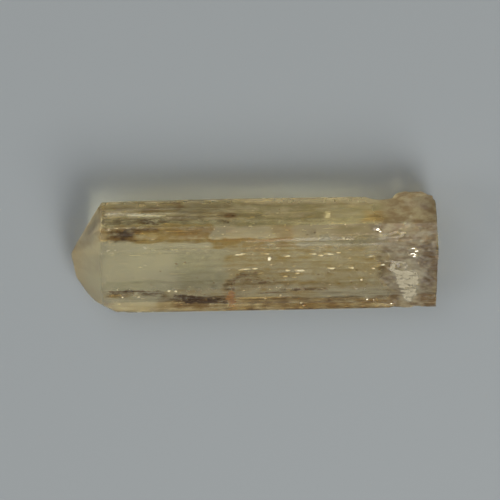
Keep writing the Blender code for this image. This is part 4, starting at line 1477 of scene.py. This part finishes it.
def add_panel(name, power):
    """A soft square light, aimed at the crystal."""
    *_, distance, size, colour = LIGHTS[name]
    away = light_from(name)
    lamp = bpy.data.lights.new(name, "AREA")
    lamp.shape = "SQUARE"
    lamp.size = size
    lamp.energy = power
    lamp.color = colour
    panel = add_object(name, lamp)
    panel.location = away * distance
    panel.rotation_mode = "QUATERNION"
    panel.rotation_quaternion = away.to_track_quat("Z", "Y")
    panel.visible_camera = False


def add_camera(settings):
    """A long lens above the +Y side, which puts the middle of the axis where the photograph has it."""
    up = Vector((0.0, math.cos(settings.camera_tilt), -math.sin(settings.camera_tilt)))
    roll = settings.camera_roll
    right = Vector((math.cos(roll), 0.0, 0.0)) - up * math.sin(roll)
    up = Vector((math.sin(roll), 0.0, 0.0)) + up * math.cos(roll)
    back = right.cross(up)
    data = bpy.data.cameras.new("camera")
    data.sensor_width = 36.0
    data.lens = settings.camera_distance / MM * PX_PER_MM / PHOTO_SIDE * data.sensor_width
    data.clip_start = 0.01
    data.clip_end = 10.0
    camera = add_object("camera", data)
    target = (Vector(AXIS_PLACE) + Vector((0.0, -0.04, 0.0))) * MM
    centre = Vector((PHOTO_SIDE / 2.0 - AXIS_PX[0], AXIS_PX[1] - PHOTO_SIDE / 2.0)) / PX_PER_MM * MM
    aim = target + right * centre.x + up * centre.y
    place = Matrix((right, up, back)).transposed().to_4x4()
    place.translation = aim + back * settings.camera_distance
    camera.matrix_world = place
    bpy.context.scene.camera = camera


class TOPAZ_OT_stage(bpy.types.Operator):
    """Makes the floor, the soft lights and the camera"""

    bl_idname = "topaz.stage"
    bl_label = "Stage"

    def execute(self, context):
        settings = context.scene.topaz_stage
        make_floor(settings)
        world = bpy.data.worlds.new("studio")
        world.use_nodes = True
        background = world.node_tree.nodes["Background"].inputs
        background["Color"].default_value = (1.0, 0.985, 0.95, 1.0)
        background["Strength"].default_value = settings.room_light
        context.scene.world = world
        for name in LIGHTS:
            add_panel(name, getattr(settings, name + "_power"))
        add_camera(settings)
        context.scene.view_settings.view_transform = "Standard"
        cycles = context.scene.cycles
        cycles.max_bounces = 24
        cycles.transmission_bounces = 24
        cycles.glossy_bounces = 12
        cycles.blur_glossy = 0.0
        cycles.sample_clamp_indirect = 4.0
        return {"FINISHED"}


class TOPAZ_PT_panel(bpy.types.Panel):
    """Lists the settings and the pieces"""

    bl_label = "Topaz crystal"
    bl_space_type = "VIEW_3D"
    bl_region_type = "UI"
    bl_category = "Topaz"

    def draw(self, context):
        for group in SETTINGS:
            settings = getattr(context.scene, group)
            box = self.layout.box()
            for name in settings.bl_rna.properties.keys():
                if name not in ("rna_type", "name"):
                    box.prop(settings, name)
        for operator in OPERATORS:
            self.layout.operator(operator.bl_idname)


OPERATORS = (
    TOPAZ_OT_crystal,
    TOPAZ_OT_dark_clouds,
    TOPAZ_OT_rust,
    TOPAZ_OT_grey_veil,
    TOPAZ_OT_orange_patch,
    TOPAZ_OT_cream_cloud,
    TOPAZ_OT_flecks,
    TOPAZ_OT_glints,
    TOPAZ_OT_stage,
)
SETTINGS = {
    "topaz_crystal": TopazCrystalSettings,
    "topaz_flakes": TopazFlakeSettings,
    "topaz_stage": TopazStageSettings,
}
CLASSES = (*SETTINGS.values(), *OPERATORS, TOPAZ_PT_panel)


def register():
    for each in CLASSES:
        bpy.utils.register_class(each)
    for name, group in SETTINGS.items():
        setattr(bpy.types.Scene, name, bpy.props.PointerProperty(type=group))


def unregister():
    for name in SETTINGS:
        delattr(bpy.types.Scene, name)
    for each in reversed(CLASSES):
        bpy.utils.unregister_class(each)


def main():
    register()
    bpy.ops.topaz.crystal()
    bpy.ops.topaz.dark_clouds()
    bpy.ops.topaz.rust()
    bpy.ops.topaz.grey_veil()
    bpy.ops.topaz.orange_patch()
    bpy.ops.topaz.cream_cloud()
    bpy.ops.topaz.flecks()
    bpy.ops.topaz.glints()
    bpy.ops.topaz.stage()


if __name__ == "__main__":
    main()
